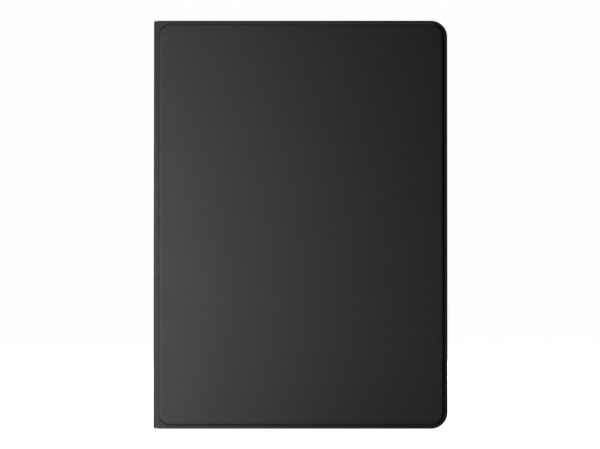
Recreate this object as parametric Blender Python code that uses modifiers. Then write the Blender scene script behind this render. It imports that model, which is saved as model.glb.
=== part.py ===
"""Tablet keyboard case: a closed folio for a 9.7 inch class tablet, standing on its short edge.

The front cover carries a Bluetooth keyboard on its inner side. A narrow spine joins it to the tray
that holds the tablet, and a kickstand with two barrel hinges is let into the back of the tray.

X runs from the spine to the opening edge, Y from the front cover to the back, Z up along the spine.
The origin is at the middle of the base. All values are in metres.
"""

import math

import bmesh
import bpy
from mathutils import Matrix, Vector

# Driving dimensions of the closed case
CASE_WIDTH = 0.180
CASE_HEIGHT = 0.250
CASE_THICKNESS = 0.021
CORNER_RADIUS = 0.010
TABLET_WIDTH = 0.1695
TABLET_HEIGHT = 0.240
TABLET_DEPTH = 0.0075
TABLET_CORNER = 0.010

LEFT, RIGHT = -CASE_WIDTH / 2, CASE_WIDTH / 2
FRONT, BACK = -CASE_THICKNESS / 2, CASE_THICKNESS / 2
BASE, TOP = 0.0, CASE_HEIGHT
MIDDLE = CASE_HEIGHT / 2

# Sheet materials, and the glue line left between two layers
SKIN = 0.0007
LINING = 0.0003
GLUE = 0.0001

# The raised board under the skin, with a flat turned edge around it
BORDER_STEP = 0.0009
BORDER_SIDE = 0.0030
BORDER_LOW = 0.0023
BORDER_HIGH = 0.0018
PANEL_LEFT_RADIUS = 0.0065
PANEL_RIGHT_RADIUS = CORNER_RADIUS - 0.0025
BOARD_INSET = 0.0010

# The spine and the two folds that join it to the front cover and to the tray
SPINE_WALL = 0.0018
SHOULDER_RADIUS = 0.0017
FOLD_X = LEFT + 0.0020
FOLD_CLEARANCE = 0.0002
FOLD_Y = BACK - BORDER_STEP
PANEL_LEFT = FOLD_X + 0.0019

# Layers of the front cover and keyboard, from the outside inwards
FRONT_BORDER = FRONT + BORDER_STEP
FRONT_BOARD = (FRONT + SKIN + GLUE, FRONT + 0.0019)
FRONT_LINING = (FRONT + 0.0021, FRONT + 0.0025)
KEYBOARD_BASE_Y = (FRONT + 0.0026, FRONT + 0.0061)
KEYBOARD_FLOOR = 0.0008
KEYBOARD_WALL = 0.0012
DECK_Y = (FRONT + 0.0062, FRONT + 0.0071)
PLATE_Y = (FRONT + 0.00345, FRONT + 0.00375)
MEMBRANE_Y = (FRONT + 0.0038, FRONT + 0.00405)
DOME_SHEET_Y = (FRONT + 0.0041, FRONT + 0.0043)
DOME_TOP = FRONT + 0.0046
KEY_Y = (FRONT + 0.0057, FRONT + 0.0082)
CARRIER_TOP = KEY_Y[0] + 0.00035

# Keyboard unit in plan. Its rear edge lies along the spine, its left-hand end is at the top.
UNIT_LEFT, UNIT_RIGHT = LEFT + 0.008, RIGHT - 0.004
UNIT_LOW, UNIT_HIGH = BASE + 0.004, TOP - 0.004
KEY_PITCH = 0.0165
KEY_GAP = 0.0023
ROW_PITCH = 0.0160
FUNCTION_PITCH = 0.0105
KEYS_START_X = LEFT + 0.020
KEYS_START_Z = MIDDLE + 7 * KEY_PITCH
KEY_TAPER = 0.00035
DECK_CLEARANCE = 0.0003
TOUCHPAD_SIZE = (0.0434, 0.0834)
TOUCHPAD_X = 0.054

# Tray
TRAY_WALL = 0.0013
TRAY_PLAY = 0.0003
TRAY_LIP = 0.0008
TRAY_LEFT = RIGHT - 0.0028 - TABLET_WIDTH - 2 * (TRAY_PLAY + TRAY_WALL)
TRAY_RIGHT = RIGHT - 0.0028
TRAY_LOW = MIDDLE - TABLET_HEIGHT / 2 - TRAY_PLAY - TRAY_WALL
TRAY_HIGH = MIDDLE + TABLET_HEIGHT / 2 + TRAY_PLAY + TRAY_WALL
TRAY_BACK = BACK - 0.0025
TRAY_FLOOR = TRAY_BACK - 0.0011
TRAY_LINING = (TRAY_FLOOR - 0.0004, TRAY_FLOOR - 0.0001)
TRAY_MOUTH = TRAY_LINING[0] - TABLET_DEPTH
TRAY_FRONT = TRAY_MOUTH - TRAY_LIP

# Back of the case: a fixed panel with the camera window, the kickstand, and the strip at the spine
BACK_LAYER = TRAY_BACK + GLUE
STAND_AXIS_X = 0.002
STAND_AXIS_Y = (BACK_LAYER + BACK) / 2
STAND_EDGE_RADIUS = (BACK - BACK_LAYER) / 2
FIXED_PANEL_LEFT = STAND_AXIS_X + STAND_EDGE_RADIUS + 0.0006
STAND_LEFT = LEFT + 0.018
STAND_LOW, STAND_HIGH = BASE + 0.0015, TOP - 0.0015
STRIP_RIGHT = LEFT + 0.0155
FINGER_NOTCH_RADIUS = 0.009
FOOT_THICKNESS = 0.0011
CAMERA_X, CAMERA_Z = 0.0715, 0.232
CAMERA_HOLE = 0.0063
RING_RADIUS = 0.0077

# Barrel hinges of the kickstand
BARREL_HINGE_HEIGHTS = {"bottom": 0.044, "top": 0.206}
KNUCKLE = 0.009
KNUCKLE_GAP = 0.0003
KNUCKLE_RADIUS = 0.0011
PIN_RADIUS = 0.00045
PIN_BORE = 0.00055
LEAF_THICKNESS = 0.0005
LEAF_REACH = 0.014
LEAF_HEIGHT = 3 * KNUCKLE + 2 * KNUCKLE_GAP

ARC_STEPS = 6
BOOLEAN_REACH = 0.002

case_parts = bpy.data.collections.new("tablet_keyboard_case")
case_cutters = bpy.data.collections.new("cutters")


def start_empty_scene():
    """Removes what the startup file holds, and links the two collections."""
    for old in list(bpy.data.objects):
        bpy.data.objects.remove(old)
    bpy.context.scene.collection.children.link(case_parts)
    bpy.context.scene.collection.children.link(case_cutters)


def material(name, color, roughness, metallic=0.0):
    made = bpy.data.materials.new(name)
    made.use_nodes = True
    shader = made.node_tree.nodes["Principled BSDF"]
    shader.inputs["Base Color"].default_value = (*color, 1.0)
    shader.inputs["Roughness"].default_value = roughness
    shader.inputs["Metallic"].default_value = metallic
    return made


MATERIALS = {
    "leather": material("leather", (0.020, 0.021, 0.021), 0.55),
    "lining": material("lining", (0.035, 0.036, 0.038), 0.95),
    "board": material("board", (0.09, 0.09, 0.085), 0.8),
    "shell": material("shell", (0.018, 0.018, 0.019), 0.4),
    "deck": material("deck", (0.025, 0.026, 0.028), 0.5),
    "key": material("key", (0.012, 0.012, 0.013), 0.45),
    "steel": material("steel", (0.55, 0.55, 0.56), 0.3, 1.0),
    "magnet": material("magnet", (0.45, 0.45, 0.46), 0.35, 1.0),
    "membrane": material("membrane", (0.5, 0.52, 0.5), 0.4),
    "silicone": material("silicone", (0.55, 0.55, 0.53), 0.6),
    "battery": material("battery", (0.25, 0.26, 0.28), 0.4),
    "circuit": material("circuit", (0.02, 0.12, 0.05), 0.45),
    "rubber": material("rubber", (0.015, 0.015, 0.015), 0.85),
    "lens": material("lens", (0.6, 0.62, 0.62), 0.25),
}


def joint_empty(name, x, y, z=MIDDLE):
    """An empty on a joint's axis, which carries the pieces that turn or slide there."""
    empty = bpy.data.objects.new(name, None)
    empty.location = (x, y, z)
    case_parts.objects.link(empty)
    return empty


def carry(piece, empty):
    """Parents a piece to an empty and leaves it where it is."""
    bpy.context.view_layer.update()
    piece.parent = empty
    piece.matrix_parent_inverse = empty.matrix_world.inverted()


def finish(piece, finish_name, empty=None, smooth=False):
    """Gives a part its material and its place in the tree."""
    piece.data.materials.clear()
    piece.data.materials.append(MATERIALS[finish_name])
    if smooth:
        piece.data.shade_smooth()
        piece.data.set_sharp_from_angle(angle=math.radians(35))
    if empty:
        carry(piece, empty)
    return piece


def as_cutter(piece):
    """Moves an object to the cutters, where it shows as a wire and isn't a part."""
    for holder in list(piece.users_collection):
        holder.objects.unlink(piece)
    case_cutters.objects.link(piece)
    piece.hide_render = True
    piece.display_type = "WIRE"
    return piece


def boolean(piece, other, operation="DIFFERENCE"):
    modifier = piece.modifiers.new(other.name, "BOOLEAN")
    modifier.operation = operation
    modifier.object = as_cutter(other)
    return piece


def rounded_loop(left, right, low, high, radii=(0, 0, 0, 0)):
    """Outline of a box with rounded corners: bottom left, bottom right, top right, top left."""
    corners = ((left, low, 180), (right, low, 270), (right, high, 0), (left, high, 90))
    inward = ((1, 1), (-1, 1), (-1, -1), (1, -1))
    loop = []
    for (x, z, start), (sx, sz), radius in zip(corners, inward, radii):
        if radius == 0:
            loop.append((x, z))
            continue
        for step in range(ARC_STEPS + 1):
            angle = math.radians(start + 90 * step / ARC_STEPS)
            loop.append((x + radius * (sx + math.cos(angle)), z + radius * (sz + math.sin(angle))))
    return loop


def circle_loop(x, z, radius, steps=24):
    turn = 2 * math.pi / steps
    return [(x + radius * math.cos(turn * i), z + radius * math.sin(turn * i)) for i in range(steps)]


def mesh_of_curve(curve_object):
    """Turns a filled curve into a mesh with welded caps, in the same place."""
    bpy.context.view_layer.update()
    graph = bpy.context.evaluated_depsgraph_get()
    mesh = bpy.data.meshes.new_from_object(curve_object.evaluated_get(graph))
    work = bmesh.new()
    work.from_mesh(mesh)
    bmesh.ops.remove_doubles(work, verts=work.verts, dist=1e-6)
    bmesh.ops.dissolve_limit(work, angle_limit=0.01, verts=work.verts, edges=work.edges)
    bmesh.ops.recalc_face_normals(work, faces=work.faces)
    work.to_mesh(mesh)
    work.free()
    name, place = curve_object.name, curve_object.matrix_world.copy()
    bpy.data.objects.remove(curve_object)
    made = bpy.data.objects.new(name, mesh)
    made.matrix_world = place
    case_parts.objects.link(made)
    return made


def sheet(name, loops, span, upright=True):
    """A flat piece from its outline, and holes inside it, over a span of thickness.

    An upright sheet lies in XZ and is thick along Y. Otherwise it lies in XY and is thick along Z.
    """
    curve = bpy.data.curves.new(name, "CURVE")
    curve.dimensions = "2D"
    curve.fill_mode = "BOTH"
    curve.extrude = (span[1] - span[0]) / 2
    for loop in loops:
        spline = curve.splines.new("POLY")
        spline.points.add(len(loop) - 1)
        for point, (across, along) in zip(spline.points, loop):
            point.co = (across, along, 0, 1)
        spline.use_cyclic_u = True
    made = bpy.data.objects.new(name, curve)
    middle = (span[0] + span[1]) / 2
    if upright:
        made.rotation_euler = (math.pi / 2, 0, 0)
        made.location = (0, middle, 0)
    else:
        made.location = (0, 0, middle)
    case_parts.objects.link(made)
    return mesh_of_curve(made)


def block(name, x, y, z, bevel=0.0, segments=1):
    """A box between three pairs of limits."""
    bpy.ops.mesh.primitive_cube_add(size=1)
    made = bpy.context.active_object
    made.name = name
    made.data.transform(Matrix.Diagonal((x[1] - x[0], y[1] - y[0], z[1] - z[0], 1)))
    made.location = ((x[0] + x[1]) / 2, (y[0] + y[1]) / 2, (z[0] + z[1]) / 2)
    for holder in list(made.users_collection):
        holder.objects.unlink(made)
    case_parts.objects.link(made)
    if bevel:
        rounding = made.modifiers.new("rounded_edges", "BEVEL")
        rounding.width = bevel
        rounding.segments = segments
        rounding.limit_method = "ANGLE"
    return made


def rod(name, center, radius, length, axis="Z", sides=16):
    """A cylinder along Z, or along Y."""
    made_mesh = bpy.data.meshes.new(name)
    work = bmesh.new()
    bmesh.ops.create_cone(
        work, cap_ends=True, segments=sides, radius1=radius, radius2=radius, depth=length
    )
    work.to_mesh(made_mesh)
    work.free()
    made = bpy.data.objects.new(name, made_mesh)
    made.location = center
    if axis == "Y":
        made.rotation_euler = (math.pi / 2, 0, 0)
    case_parts.objects.link(made)
    return made


def round_rim(piece, y, width, segments=2):
    """Bevels the edges of an upright piece that lie in the plane at y."""
    bpy.context.view_layer.update()
    place = piece.matrix_world
    work = bmesh.new()
    work.from_mesh(piece.data)
    rim = [
        edge
        for edge in work.edges
        if all(abs((place @ vertex.co).y - y) < 1e-6 for vertex in edge.verts)
        and len(edge.link_faces) == 2
        and edge.calc_face_angle() > 0.5
    ]
    bmesh.ops.bevel(
        work, geom=rim, offset=width, segments=segments, profile=0.5, affect="EDGES"
    )
    work.to_mesh(piece.data)
    work.free()
    return piece


def panel_radii(inset=0.0, left=PANEL_LEFT_RADIUS, right=PANEL_RIGHT_RADIUS):
    """Corner radii of the raised panel, or of a board inset from it."""
    near, far = max(left - inset, 0.0), max(right - inset, 0.0)
    return (near, far, far, near)


def add_front_cover(hinge):
    """The leather front cover: skin with its raised panel, the board in it, and the lining."""
    outline = rounded_loop(
        FOLD_X + FOLD_CLEARANCE, RIGHT, BASE, TOP, (0.001, CORNER_RADIUS, CORNER_RADIUS, 0.001)
    )
    skin = sheet("front_skin", [outline], (FRONT_BORDER, FRONT_LINING[0] - GLUE))
    panel_right, low, high = RIGHT - BORDER_SIDE, BASE + BORDER_LOW, TOP - BORDER_HIGH
    raised = sheet(
        "front_raised_panel",
        [rounded_loop(PANEL_LEFT, panel_right, low, high, panel_radii())],
        (FRONT, FRONT_BORDER + 0.0003),
    )
    boolean(skin, round_rim(raised, FRONT, BORDER_STEP * 0.9), "UNION")
    inset = BOARD_INSET - GLUE
    pocket = sheet(
        "front_board_pocket",
        [
            rounded_loop(
                PANEL_LEFT + inset, panel_right - inset, low + inset, high - inset, panel_radii(inset)
            )
        ],
        (FRONT + SKIN, FRONT_LINING[0]),
    )
    boolean(skin, pocket)
    inset = BOARD_INSET
    board_loop = rounded_loop(
        PANEL_LEFT + inset, panel_right - inset, low + inset, high - inset, panel_radii(inset)
    )
    lining_loop = rounded_loop(
        FOLD_X + 0.0006, RIGHT - 0.0008, BASE + 0.0008, TOP - 0.0008,
        (0.001, CORNER_RADIUS - 0.0008, CORNER_RADIUS - 0.0008, 0.001),
    )
    finish(skin, "leather", hinge, smooth=True)
    finish(sheet("front_board", [board_loop], FRONT_BOARD), "board", hinge)
    finish(sheet("front_lining", [lining_loop], FRONT_LINING), "lining", hinge)


def add_spine(hinge):
    """The narrow back of the folio: a leather channel with round shoulders, its board and lining."""
    end = FOLD_Y - FOLD_CLEARANCE
    inner = end - 0.0008
    center_x, center_y = LEFT + SHOULDER_RADIUS, end - SHOULDER_RADIUS
    shoulder = [
        (
            center_x - SHOULDER_RADIUS * math.sin(math.radians(90 * step / ARC_STEPS)),
            center_y + SHOULDER_RADIUS * math.cos(math.radians(90 * step / ARC_STEPS)),
        )
        for step in range(ARC_STEPS + 1)
    ]
    wall = LEFT + SPINE_WALL
    skin_face = LEFT + SKIN
    back_half = [(skin_face, inner), (wall, inner), (wall, end), *shoulder]
    front_half = [(x, -y) for x, y in reversed(back_half)]
    skin = sheet("spine_skin", [back_half + front_half], (BASE, TOP), upright=False)
    finish(skin, "leather", hinge, smooth=True)
    depth = (-inner + 0.0002, inner - 0.0002)
    board = block(
        "spine_board", (skin_face + GLUE, skin_face + 0.0006), depth, (BASE + 0.0015, TOP - 0.0015)
    )
    finish(board, "board", hinge)
    lining = block(
        "spine_lining", (wall - 0.0004, wall - 0.0001), depth, (BASE + 0.0008, TOP - 0.0008)
    )
    finish(lining, "lining", hinge)


def add_tray():
    """The moulded tray that grips the tablet, with its cut-outs for buttons, ports and camera."""
    radius = TABLET_CORNER + TRAY_PLAY + TRAY_WALL
    outline = rounded_loop(TRAY_LEFT, TRAY_RIGHT, TRAY_LOW, TRAY_HIGH, (radius,) * 4)
    tray = sheet("tray_shell", [outline], (TRAY_FRONT, TRAY_BACK))
    round_rim(tray, TRAY_FRONT, 0.0006)
    round_rim(tray, TRAY_BACK, 0.0005)
    bays = {
        "tablet_bay": (TRAY_WALL, (TRAY_MOUTH, TRAY_FLOOR)),
        "tray_mouth": (TRAY_WALL + TRAY_LIP, (TRAY_FRONT - BOOLEAN_REACH, TRAY_MOUTH + 0.001)),
    }
    for name, (inset, span) in bays.items():
        loop = rounded_loop(
            TRAY_LEFT + inset, TRAY_RIGHT - inset, TRAY_LOW + inset, TRAY_HIGH - inset,
            (radius - inset,) * 4,
        )
        boolean(tray, sheet(name, [loop], span))
    middle_x = (TRAY_LEFT + TRAY_RIGHT) / 2
    slot_y = (TRAY_MOUTH + 0.0018, TRAY_FLOOR - 0.0013)
    high_wall = (TRAY_HIGH - 2 * TRAY_WALL, TRAY_HIGH + BOOLEAN_REACH)
    low_wall = (TRAY_LOW - BOOLEAN_REACH, TRAY_LOW + 2 * TRAY_WALL)
    end_slots = {
        "power_button_slot": (0.050, 0.070, high_wall),
        "headphone_slot": (-0.074, -0.064, high_wall),
        "charge_port_slot": (middle_x - 0.008, middle_x + 0.008, low_wall),
        "speaker_slot_left": (middle_x - 0.036, middle_x - 0.014, low_wall),
        "speaker_slot_right": (middle_x + 0.014, middle_x + 0.036, low_wall),
    }
    for name, (left, right, wall) in end_slots.items():
        boolean(tray, block(name, (left, right), slot_y, wall, bevel=0.0012, segments=2))
    side_wall = (TRAY_RIGHT - 2 * TRAY_WALL, TRAY_RIGHT + BOOLEAN_REACH)
    boolean(tray, block("volume_slot", side_wall, slot_y, (0.196, 0.226), bevel=0.0012, segments=2))
    hole = rod(
        "camera_hole", (CAMERA_X, TRAY_FLOOR, CAMERA_Z), CAMERA_HOLE + 0.0003, 0.006, "Y", 24
    )
    boolean(tray, hole)
    finish(tray, "shell", smooth=True)
    inset = TRAY_WALL + TRAY_PLAY
    lining_loop = rounded_loop(
        TRAY_LEFT + inset, TRAY_RIGHT - inset, TRAY_LOW + inset, TRAY_HIGH - inset,
        (TABLET_CORNER,) * 4,
    )
    camera_loop = circle_loop(CAMERA_X, CAMERA_Z, CAMERA_HOLE + 0.0006)
    finish(sheet("tray_lining", [lining_loop, camera_loop], TRAY_LINING), "lining")


def leaf_pocket(name, left, right, height, depth):
    """Room for a hinge leaf: a box as tall as the leaf with a little play."""
    half = LEAF_HEIGHT / 2 + 0.0002
    return block(name, (left, right), depth, (height - half, height + half))


def add_back_panel():
    """The fixed half of the back: leather over a board, with the camera window and its ring."""
    outline = rounded_loop(
        FIXED_PANEL_LEFT, RIGHT, BASE, TOP, (0.001, CORNER_RADIUS, CORNER_RADIUS, 0.001)
    )
    skin = sheet("back_skin", [outline], (BACK_LAYER, BACK - BORDER_STEP))
    panel_left, panel_right = FIXED_PANEL_LEFT + 0.0006, RIGHT - BORDER_SIDE
    low, high = BASE + BORDER_LOW, TOP - BORDER_HIGH
    raised = sheet(
        "back_raised_panel",
        [rounded_loop(panel_left, panel_right, low, high, panel_radii(left=0.001))],
        (BACK - BORDER_STEP - 0.0003, BACK),
    )
    boolean(skin, round_rim(raised, BACK, BORDER_STEP * 0.7), "UNION")
    board_span = (BACK_LAYER, BACK - SKIN - GLUE)
    for name, inset, span in (
        ("back_board_pocket", BOARD_INSET - GLUE, (BACK_LAYER - GLUE / 2, BACK - SKIN)),
        ("back_board", BOARD_INSET, board_span),
    ):
        loop = rounded_loop(
            panel_left + 0.0012 + inset, panel_right - inset, low + inset, high - inset,
            panel_radii(inset, left=0.001),
        )
        piece = sheet(name, [loop], span)
        if name == "back_board":
            board = piece
        else:
            boolean(skin, piece)
    for piece in (skin, board):
        window = rod(
            f"{piece.name}_window", (CAMERA_X, BACK, CAMERA_Z), RING_RADIUS + 0.0002, 0.012, "Y", 24
        )
        boolean(piece, window)
        for end, height in BARREL_HINGE_HEIGHTS.items():
            pocket = leaf_pocket(
                f"{piece.name}_leaf_pocket_{end}",
                FIXED_PANEL_LEFT - 0.001, STAND_AXIS_X + LEAF_REACH + 0.0002, height,
                (BACK_LAYER - GLUE / 2, BACK_LAYER + LEAF_THICKNESS + 0.0002),
            )
            boolean(piece, pocket)
    finish(skin, "leather", smooth=True)
    finish(board, "board")
    add_camera_ring()
    add_hinge_strip()


def add_camera_ring():
    """A turned ring that lines the camera window."""
    profile = (
        (CAMERA_HOLE, BACK_LAYER),
        (CAMERA_HOLE, BACK - 0.0005),
        (CAMERA_HOLE + 0.0005, BACK),
        (RING_RADIUS, BACK),
        (RING_RADIUS, BACK_LAYER),
    )
    mesh = bpy.data.meshes.new("camera_ring")
    work = bmesh.new()
    points = [work.verts.new((radius, 0, -depth)) for radius, depth in profile]
    for first, second in zip(points, points[1:] + points[:1]):
        work.edges.new((first, second))
    work.to_mesh(mesh)
    work.free()
    ring = bpy.data.objects.new("camera_ring", mesh)
    ring.location = (CAMERA_X, 0, CAMERA_Z)
    ring.rotation_euler = (math.pi / 2, 0, 0)
    case_parts.objects.link(ring)
    turn = ring.modifiers.new("turned", "SCREW")
    turn.axis = "Z"
    turn.steps = turn.render_steps = 24
    turn.use_merge_vertices = True
    turn.merge_threshold = 0.00001
    turn.use_normal_calculate = True
    turn.use_normal_flip = True
    finish(ring, "shell")


def add_hinge_strip():
    """The strip beside the spine, glued to the tray, with a notch to get a fingertip in."""
    outline = rounded_loop(
        FOLD_X + FOLD_CLEARANCE, STRIP_RIGHT, BASE, TOP, (0.001, 0.0005, 0.0005, 0.001)
    )
    strip = sheet("hinge_strip", [outline], (BACK_LAYER, BACK - BORDER_STEP))
    raised = sheet(
        "strip_raised_panel",
        [
            rounded_loop(
                PANEL_LEFT, STRIP_RIGHT - 0.0003, BASE + BORDER_LOW, TOP - BORDER_HIGH,
                panel_radii(right=0.001),
            )
        ],
        (BACK - BORDER_STEP - 0.0003, BACK),
    )
    boolean(strip, round_rim(raised, BACK, BORDER_STEP * 0.7), "UNION")
    notch_x = STRIP_RIGHT + FINGER_NOTCH_RADIUS - 0.005
    notch = rod("finger_notch", (notch_x, BACK, MIDDLE), FINGER_NOTCH_RADIUS, 0.0030, "Y", 32)
    boolean(strip, notch)
    finish(strip, "leather", smooth=True)


def add_kickstand(hinge):
    """The kickstand: leather wrapped over a board, lined inside, with a rubber foot on its edge."""
    radius = STAND_EDGE_RADIUS
    barrel = [
        (
            STAND_AXIS_X + radius * math.sin(math.radians(180 * step / (2 * ARC_STEPS))),
            STAND_AXIS_Y - radius * math.cos(math.radians(180 * step / (2 * ARC_STEPS))),
        )
        for step in range(2 * ARC_STEPS + 1)
    ]
    chamfer = 0.0008
    free_edge = [(STAND_LEFT + chamfer, BACK), (STAND_LEFT, BACK - chamfer), (STAND_LEFT, BACK_LAYER)]
    skin = sheet("stand_skin", [barrel + free_edge], (STAND_LOW, STAND_HIGH), upright=False)
    edge = 0.0012
    inner_x = (STAND_LEFT + edge, STAND_AXIS_X - 0.0018)
    inner_z = (STAND_LOW + edge, STAND_HIGH - edge)
    pocket = block(
        "stand_board_pocket", inner_x, (BACK_LAYER - BOOLEAN_REACH, BACK - SKIN), inner_z
    )
    boolean(skin, pocket)
    board_x = (inner_x[0] + GLUE, inner_x[1] - GLUE)
    board_z = (inner_z[0] + GLUE, inner_z[1] - GLUE)
    lining_y = (BACK_LAYER, BACK_LAYER + LINING)
    board = block("stand_board", board_x, (lining_y[1] + GLUE, BACK - SKIN - GLUE), board_z)
    lining = block("stand_lining", board_x, lining_y, board_z)
    leaf_low = lining_y[1] + 0.00015
    for end, height in BARREL_HINGE_HEIGHTS.items():
        notch = leaf_pocket(
            f"stand_barrel_notch_{end}", inner_x[1] - 0.0002, STAND_AXIS_X + 2 * radius, height,
            (BACK_LAYER - BOOLEAN_REACH, BACK + BOOLEAN_REACH),
        )
        boolean(skin, notch)
        pocket = leaf_pocket(
            f"stand_leaf_pocket_{end}", STAND_AXIS_X - LEAF_REACH - 0.0002, inner_x[1] + 0.0002,
            height, (lining_y[1], leaf_low + LEAF_THICKNESS + 0.00015),
        )
        boolean(board, pocket)
        add_barrel_hinge(end, height, leaf_low, hinge)
    finish(skin, "leather", hinge, smooth=True)
    finish(board, "board", hinge)
    finish(lining, "lining", hinge)
    foot = block(
        "stand_foot",
        (STAND_LEFT - GLUE - FOOT_THICKNESS, STAND_LEFT - GLUE),
        (BACK_LAYER + 0.0004, BACK - 0.0006),
        (MIDDLE - 0.085, MIDDLE + 0.085),
        bevel=0.0004,
    )
    finish(foot, "rubber", hinge)


def tube(name, height, length):
    """A hinge knuckle around the kickstand's axis."""
    loops = [
        circle_loop(STAND_AXIS_X, STAND_AXIS_Y, KNUCKLE_RADIUS, 16),
        circle_loop(STAND_AXIS_X, STAND_AXIS_Y, PIN_BORE, 12),
    ]
    return sheet(name, loops, (height - length / 2, height + length / 2), upright=False)


def add_barrel_hinge(end, height, moving_low, hinge):
    """One steel hinge: a leaf with one knuckle on the tray, a leaf with two on the stand, a pin."""
    half = LEAF_HEIGHT / 2
    reach_low, reach_high = PIN_BORE + 0.0001, KNUCKLE_RADIUS - 0.0001
    fixed = tube(f"hinge_leaf_fixed_{end}", height, KNUCKLE)
    fixed_leaf = block(
        f"fixed_leaf_plate_{end}",
        (STAND_AXIS_X + KNUCKLE_RADIUS + 0.0003, STAND_AXIS_X + LEAF_REACH),
        (BACK_LAYER, BACK_LAYER + LEAF_THICKNESS),
        (height - half, height + half),
    )
    fixed_neck = block(
        f"fixed_leaf_neck_{end}",
        (STAND_AXIS_X, STAND_AXIS_X + KNUCKLE_RADIUS + 0.001),
        (BACK_LAYER, STAND_AXIS_Y - reach_low),
        (height - KNUCKLE / 2, height + KNUCKLE / 2),
    )
    neck_trim = block(
        f"fixed_neck_trim_{end}",
        (STAND_AXIS_X - 0.001, STAND_AXIS_X + LEAF_REACH),
        (BACK_LAYER + LEAF_THICKNESS, BACK),
        (height - KNUCKLE, height + KNUCKLE),
    )
    boolean(fixed_neck, neck_trim)
    boolean(fixed, fixed_neck, "UNION")
    boolean(fixed, fixed_leaf, "UNION")
    finish(fixed, "steel", smooth=True)

    offset = KNUCKLE + KNUCKLE_GAP
    moving = tube(f"hinge_leaf_moving_{end}", height + offset, KNUCKLE)
    second = tube(f"moving_knuckle_{end}", height - offset, KNUCKLE)
    plate = block(
        f"moving_leaf_plate_{end}",
        (STAND_AXIS_X - LEAF_REACH, STAND_AXIS_X - KNUCKLE_RADIUS - 0.0003),
        (moving_low, moving_low + LEAF_THICKNESS),
        (height - half, height + half),
    )
    boolean(moving, plate, "UNION")
    boolean(moving, second, "UNION")
    for side in (-1, 1):
        neck = block(
            f"moving_leaf_neck_{end}_{'low' if side < 0 else 'high'}",
            (STAND_AXIS_X - KNUCKLE_RADIUS - 0.001, STAND_AXIS_X - reach_high + 0.0004),
            (moving_low, moving_low + LEAF_THICKNESS),
            (height + side * offset - KNUCKLE / 2, height + side * offset + KNUCKLE / 2),
        )
        boolean(moving, neck, "UNION")
    finish(moving, "steel", hinge, smooth=True)
    pin = rod(
        f"hinge_pin_{end}", (STAND_AXIS_X, STAND_AXIS_Y, height), PIN_RADIUS, LEAF_HEIGHT, sides=12
    )
    finish(pin, "steel", hinge, smooth=True)


# Key rows from the rear of the keyboard. Each entry is a width in key pitches, and a name where the
# key stands alone. The keys with no name share one carrier in their row, named for the row.
ROWS = (
    ("function_keys", ((1.0, None),) * 14),
    ("number_keys", ((0.75, "key_grave"), *((1.0, None),) * 12, (1.25, "key_backspace"))),
    ("upper_letter_keys", ((1.25, "key_tab"), *((1.0, None),) * 12, (0.75, "key_backslash"))),
    ("middle_letter_keys", ((1.5, "key_caps_lock"), *((1.0, None),) * 11, (1.5, "key_enter"))),
    ("lower_letter_keys", ((2.0, "key_shift_left"), *((1.0, None),) * 10, (2.0, "key_shift_right"))),
    (
        "bottom_keys",
        (
            (1.0, "key_globe"), (1.0, "key_control"), (1.0, "key_option"), (1.25, "key_command_left"),
            (5.5, "key_space"), (1.25, "key_command_right"), (1.0, "key_arrow_left"),
            (1.0, "arrows_up_down"), (1.0, "key_arrow_right"),
        ),
    ),
)


def row_limits(index):
    """X limits of a row's key tops."""
    start = KEYS_START_X
    if index == 0:
        return start, start + FUNCTION_PITCH - KEY_GAP
    start += FUNCTION_PITCH + (index - 1) * ROW_PITCH
    return start, start + ROW_PITCH - KEY_GAP


def key_places():
    """(row name, key name or None, x limits, z limits) of every key."""
    places = []
    for index, (row, keys) in enumerate(ROWS):
        x0, x1 = row_limits(index)
        at = KEYS_START_Z
        for width, name in keys:
            z1, z0 = at - KEY_GAP / 2, at - width * KEY_PITCH + KEY_GAP / 2
            at -= width * KEY_PITCH
            if name == "arrows_up_down":
                half = (x1 - x0 - 0.0012) / 2
                places.append((row, "key_arrow_up", (x0, x0 + half), (z0, z1)))
                places.append((row, "key_arrow_down", (x1 - half, x1), (z0, z1)))
            else:
                places.append((row, name, (x0, x1), (z0, z1)))
    return places


def keycap(name, x, z):
    """A keycap with sloping sides and softened edges, its top towards the tray."""
    cap = block(name, x, KEY_Y, z)
    work = bmesh.new()
    work.from_mesh(cap.data)
    for vertex in work.verts:
        if vertex.co.y > 0:
            vertex.co.x -= math.copysign(KEY_TAPER, vertex.co.x)
            vertex.co.z -= math.copysign(KEY_TAPER, vertex.co.z)
    rim = [edge for edge in work.edges if all(v.co.y > 0 for v in edge.verts)]
    bmesh.ops.bevel(work, geom=rim, offset=0.0003, segments=1, affect="EDGES")
    work.to_mesh(cap.data)
    work.free()
    return cap


def add_keys(cover):
    """The keys. Those that stand alone slide alone, and those on a carrier slide with it."""
    shared = {}
    for row, name, x, z in key_places():
        if name:
            middle = Vector(((x[0] + x[1]) / 2, KEY_Y[0], (z[0] + z[1]) / 2))
            guide = joint_empty(f"{name}_guide", *middle)
            carry(guide, cover)
            finish(keycap(name, x, z), "key", guide)
        else:
            shared.setdefault(row, []).append((x, z))
    for row, places in shared.items():
        (x0, x1), (z_first, z_last) = places[0][0], (places[0][1], places[-1][1])
        middle_x = (x0 + x1) / 2
        ends = ((z_last[0] + z_last[1]) / 2, (z_first[0] + z_first[1]) / 2)
        guide = joint_empty(f"{row}_guide", middle_x, KEY_Y[0], sum(ends) / 2)
        carry(guide, cover)
        carrier = block(row, (middle_x - 0.0025, middle_x + 0.0025), (KEY_Y[0], CARRIER_TOP), ends)
        for number, (x, z) in enumerate(places):
            boolean(carrier, keycap(f"{row}_cap_{number:02d}", x, z), "UNION")
        finish(carrier, "key", guide)


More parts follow.
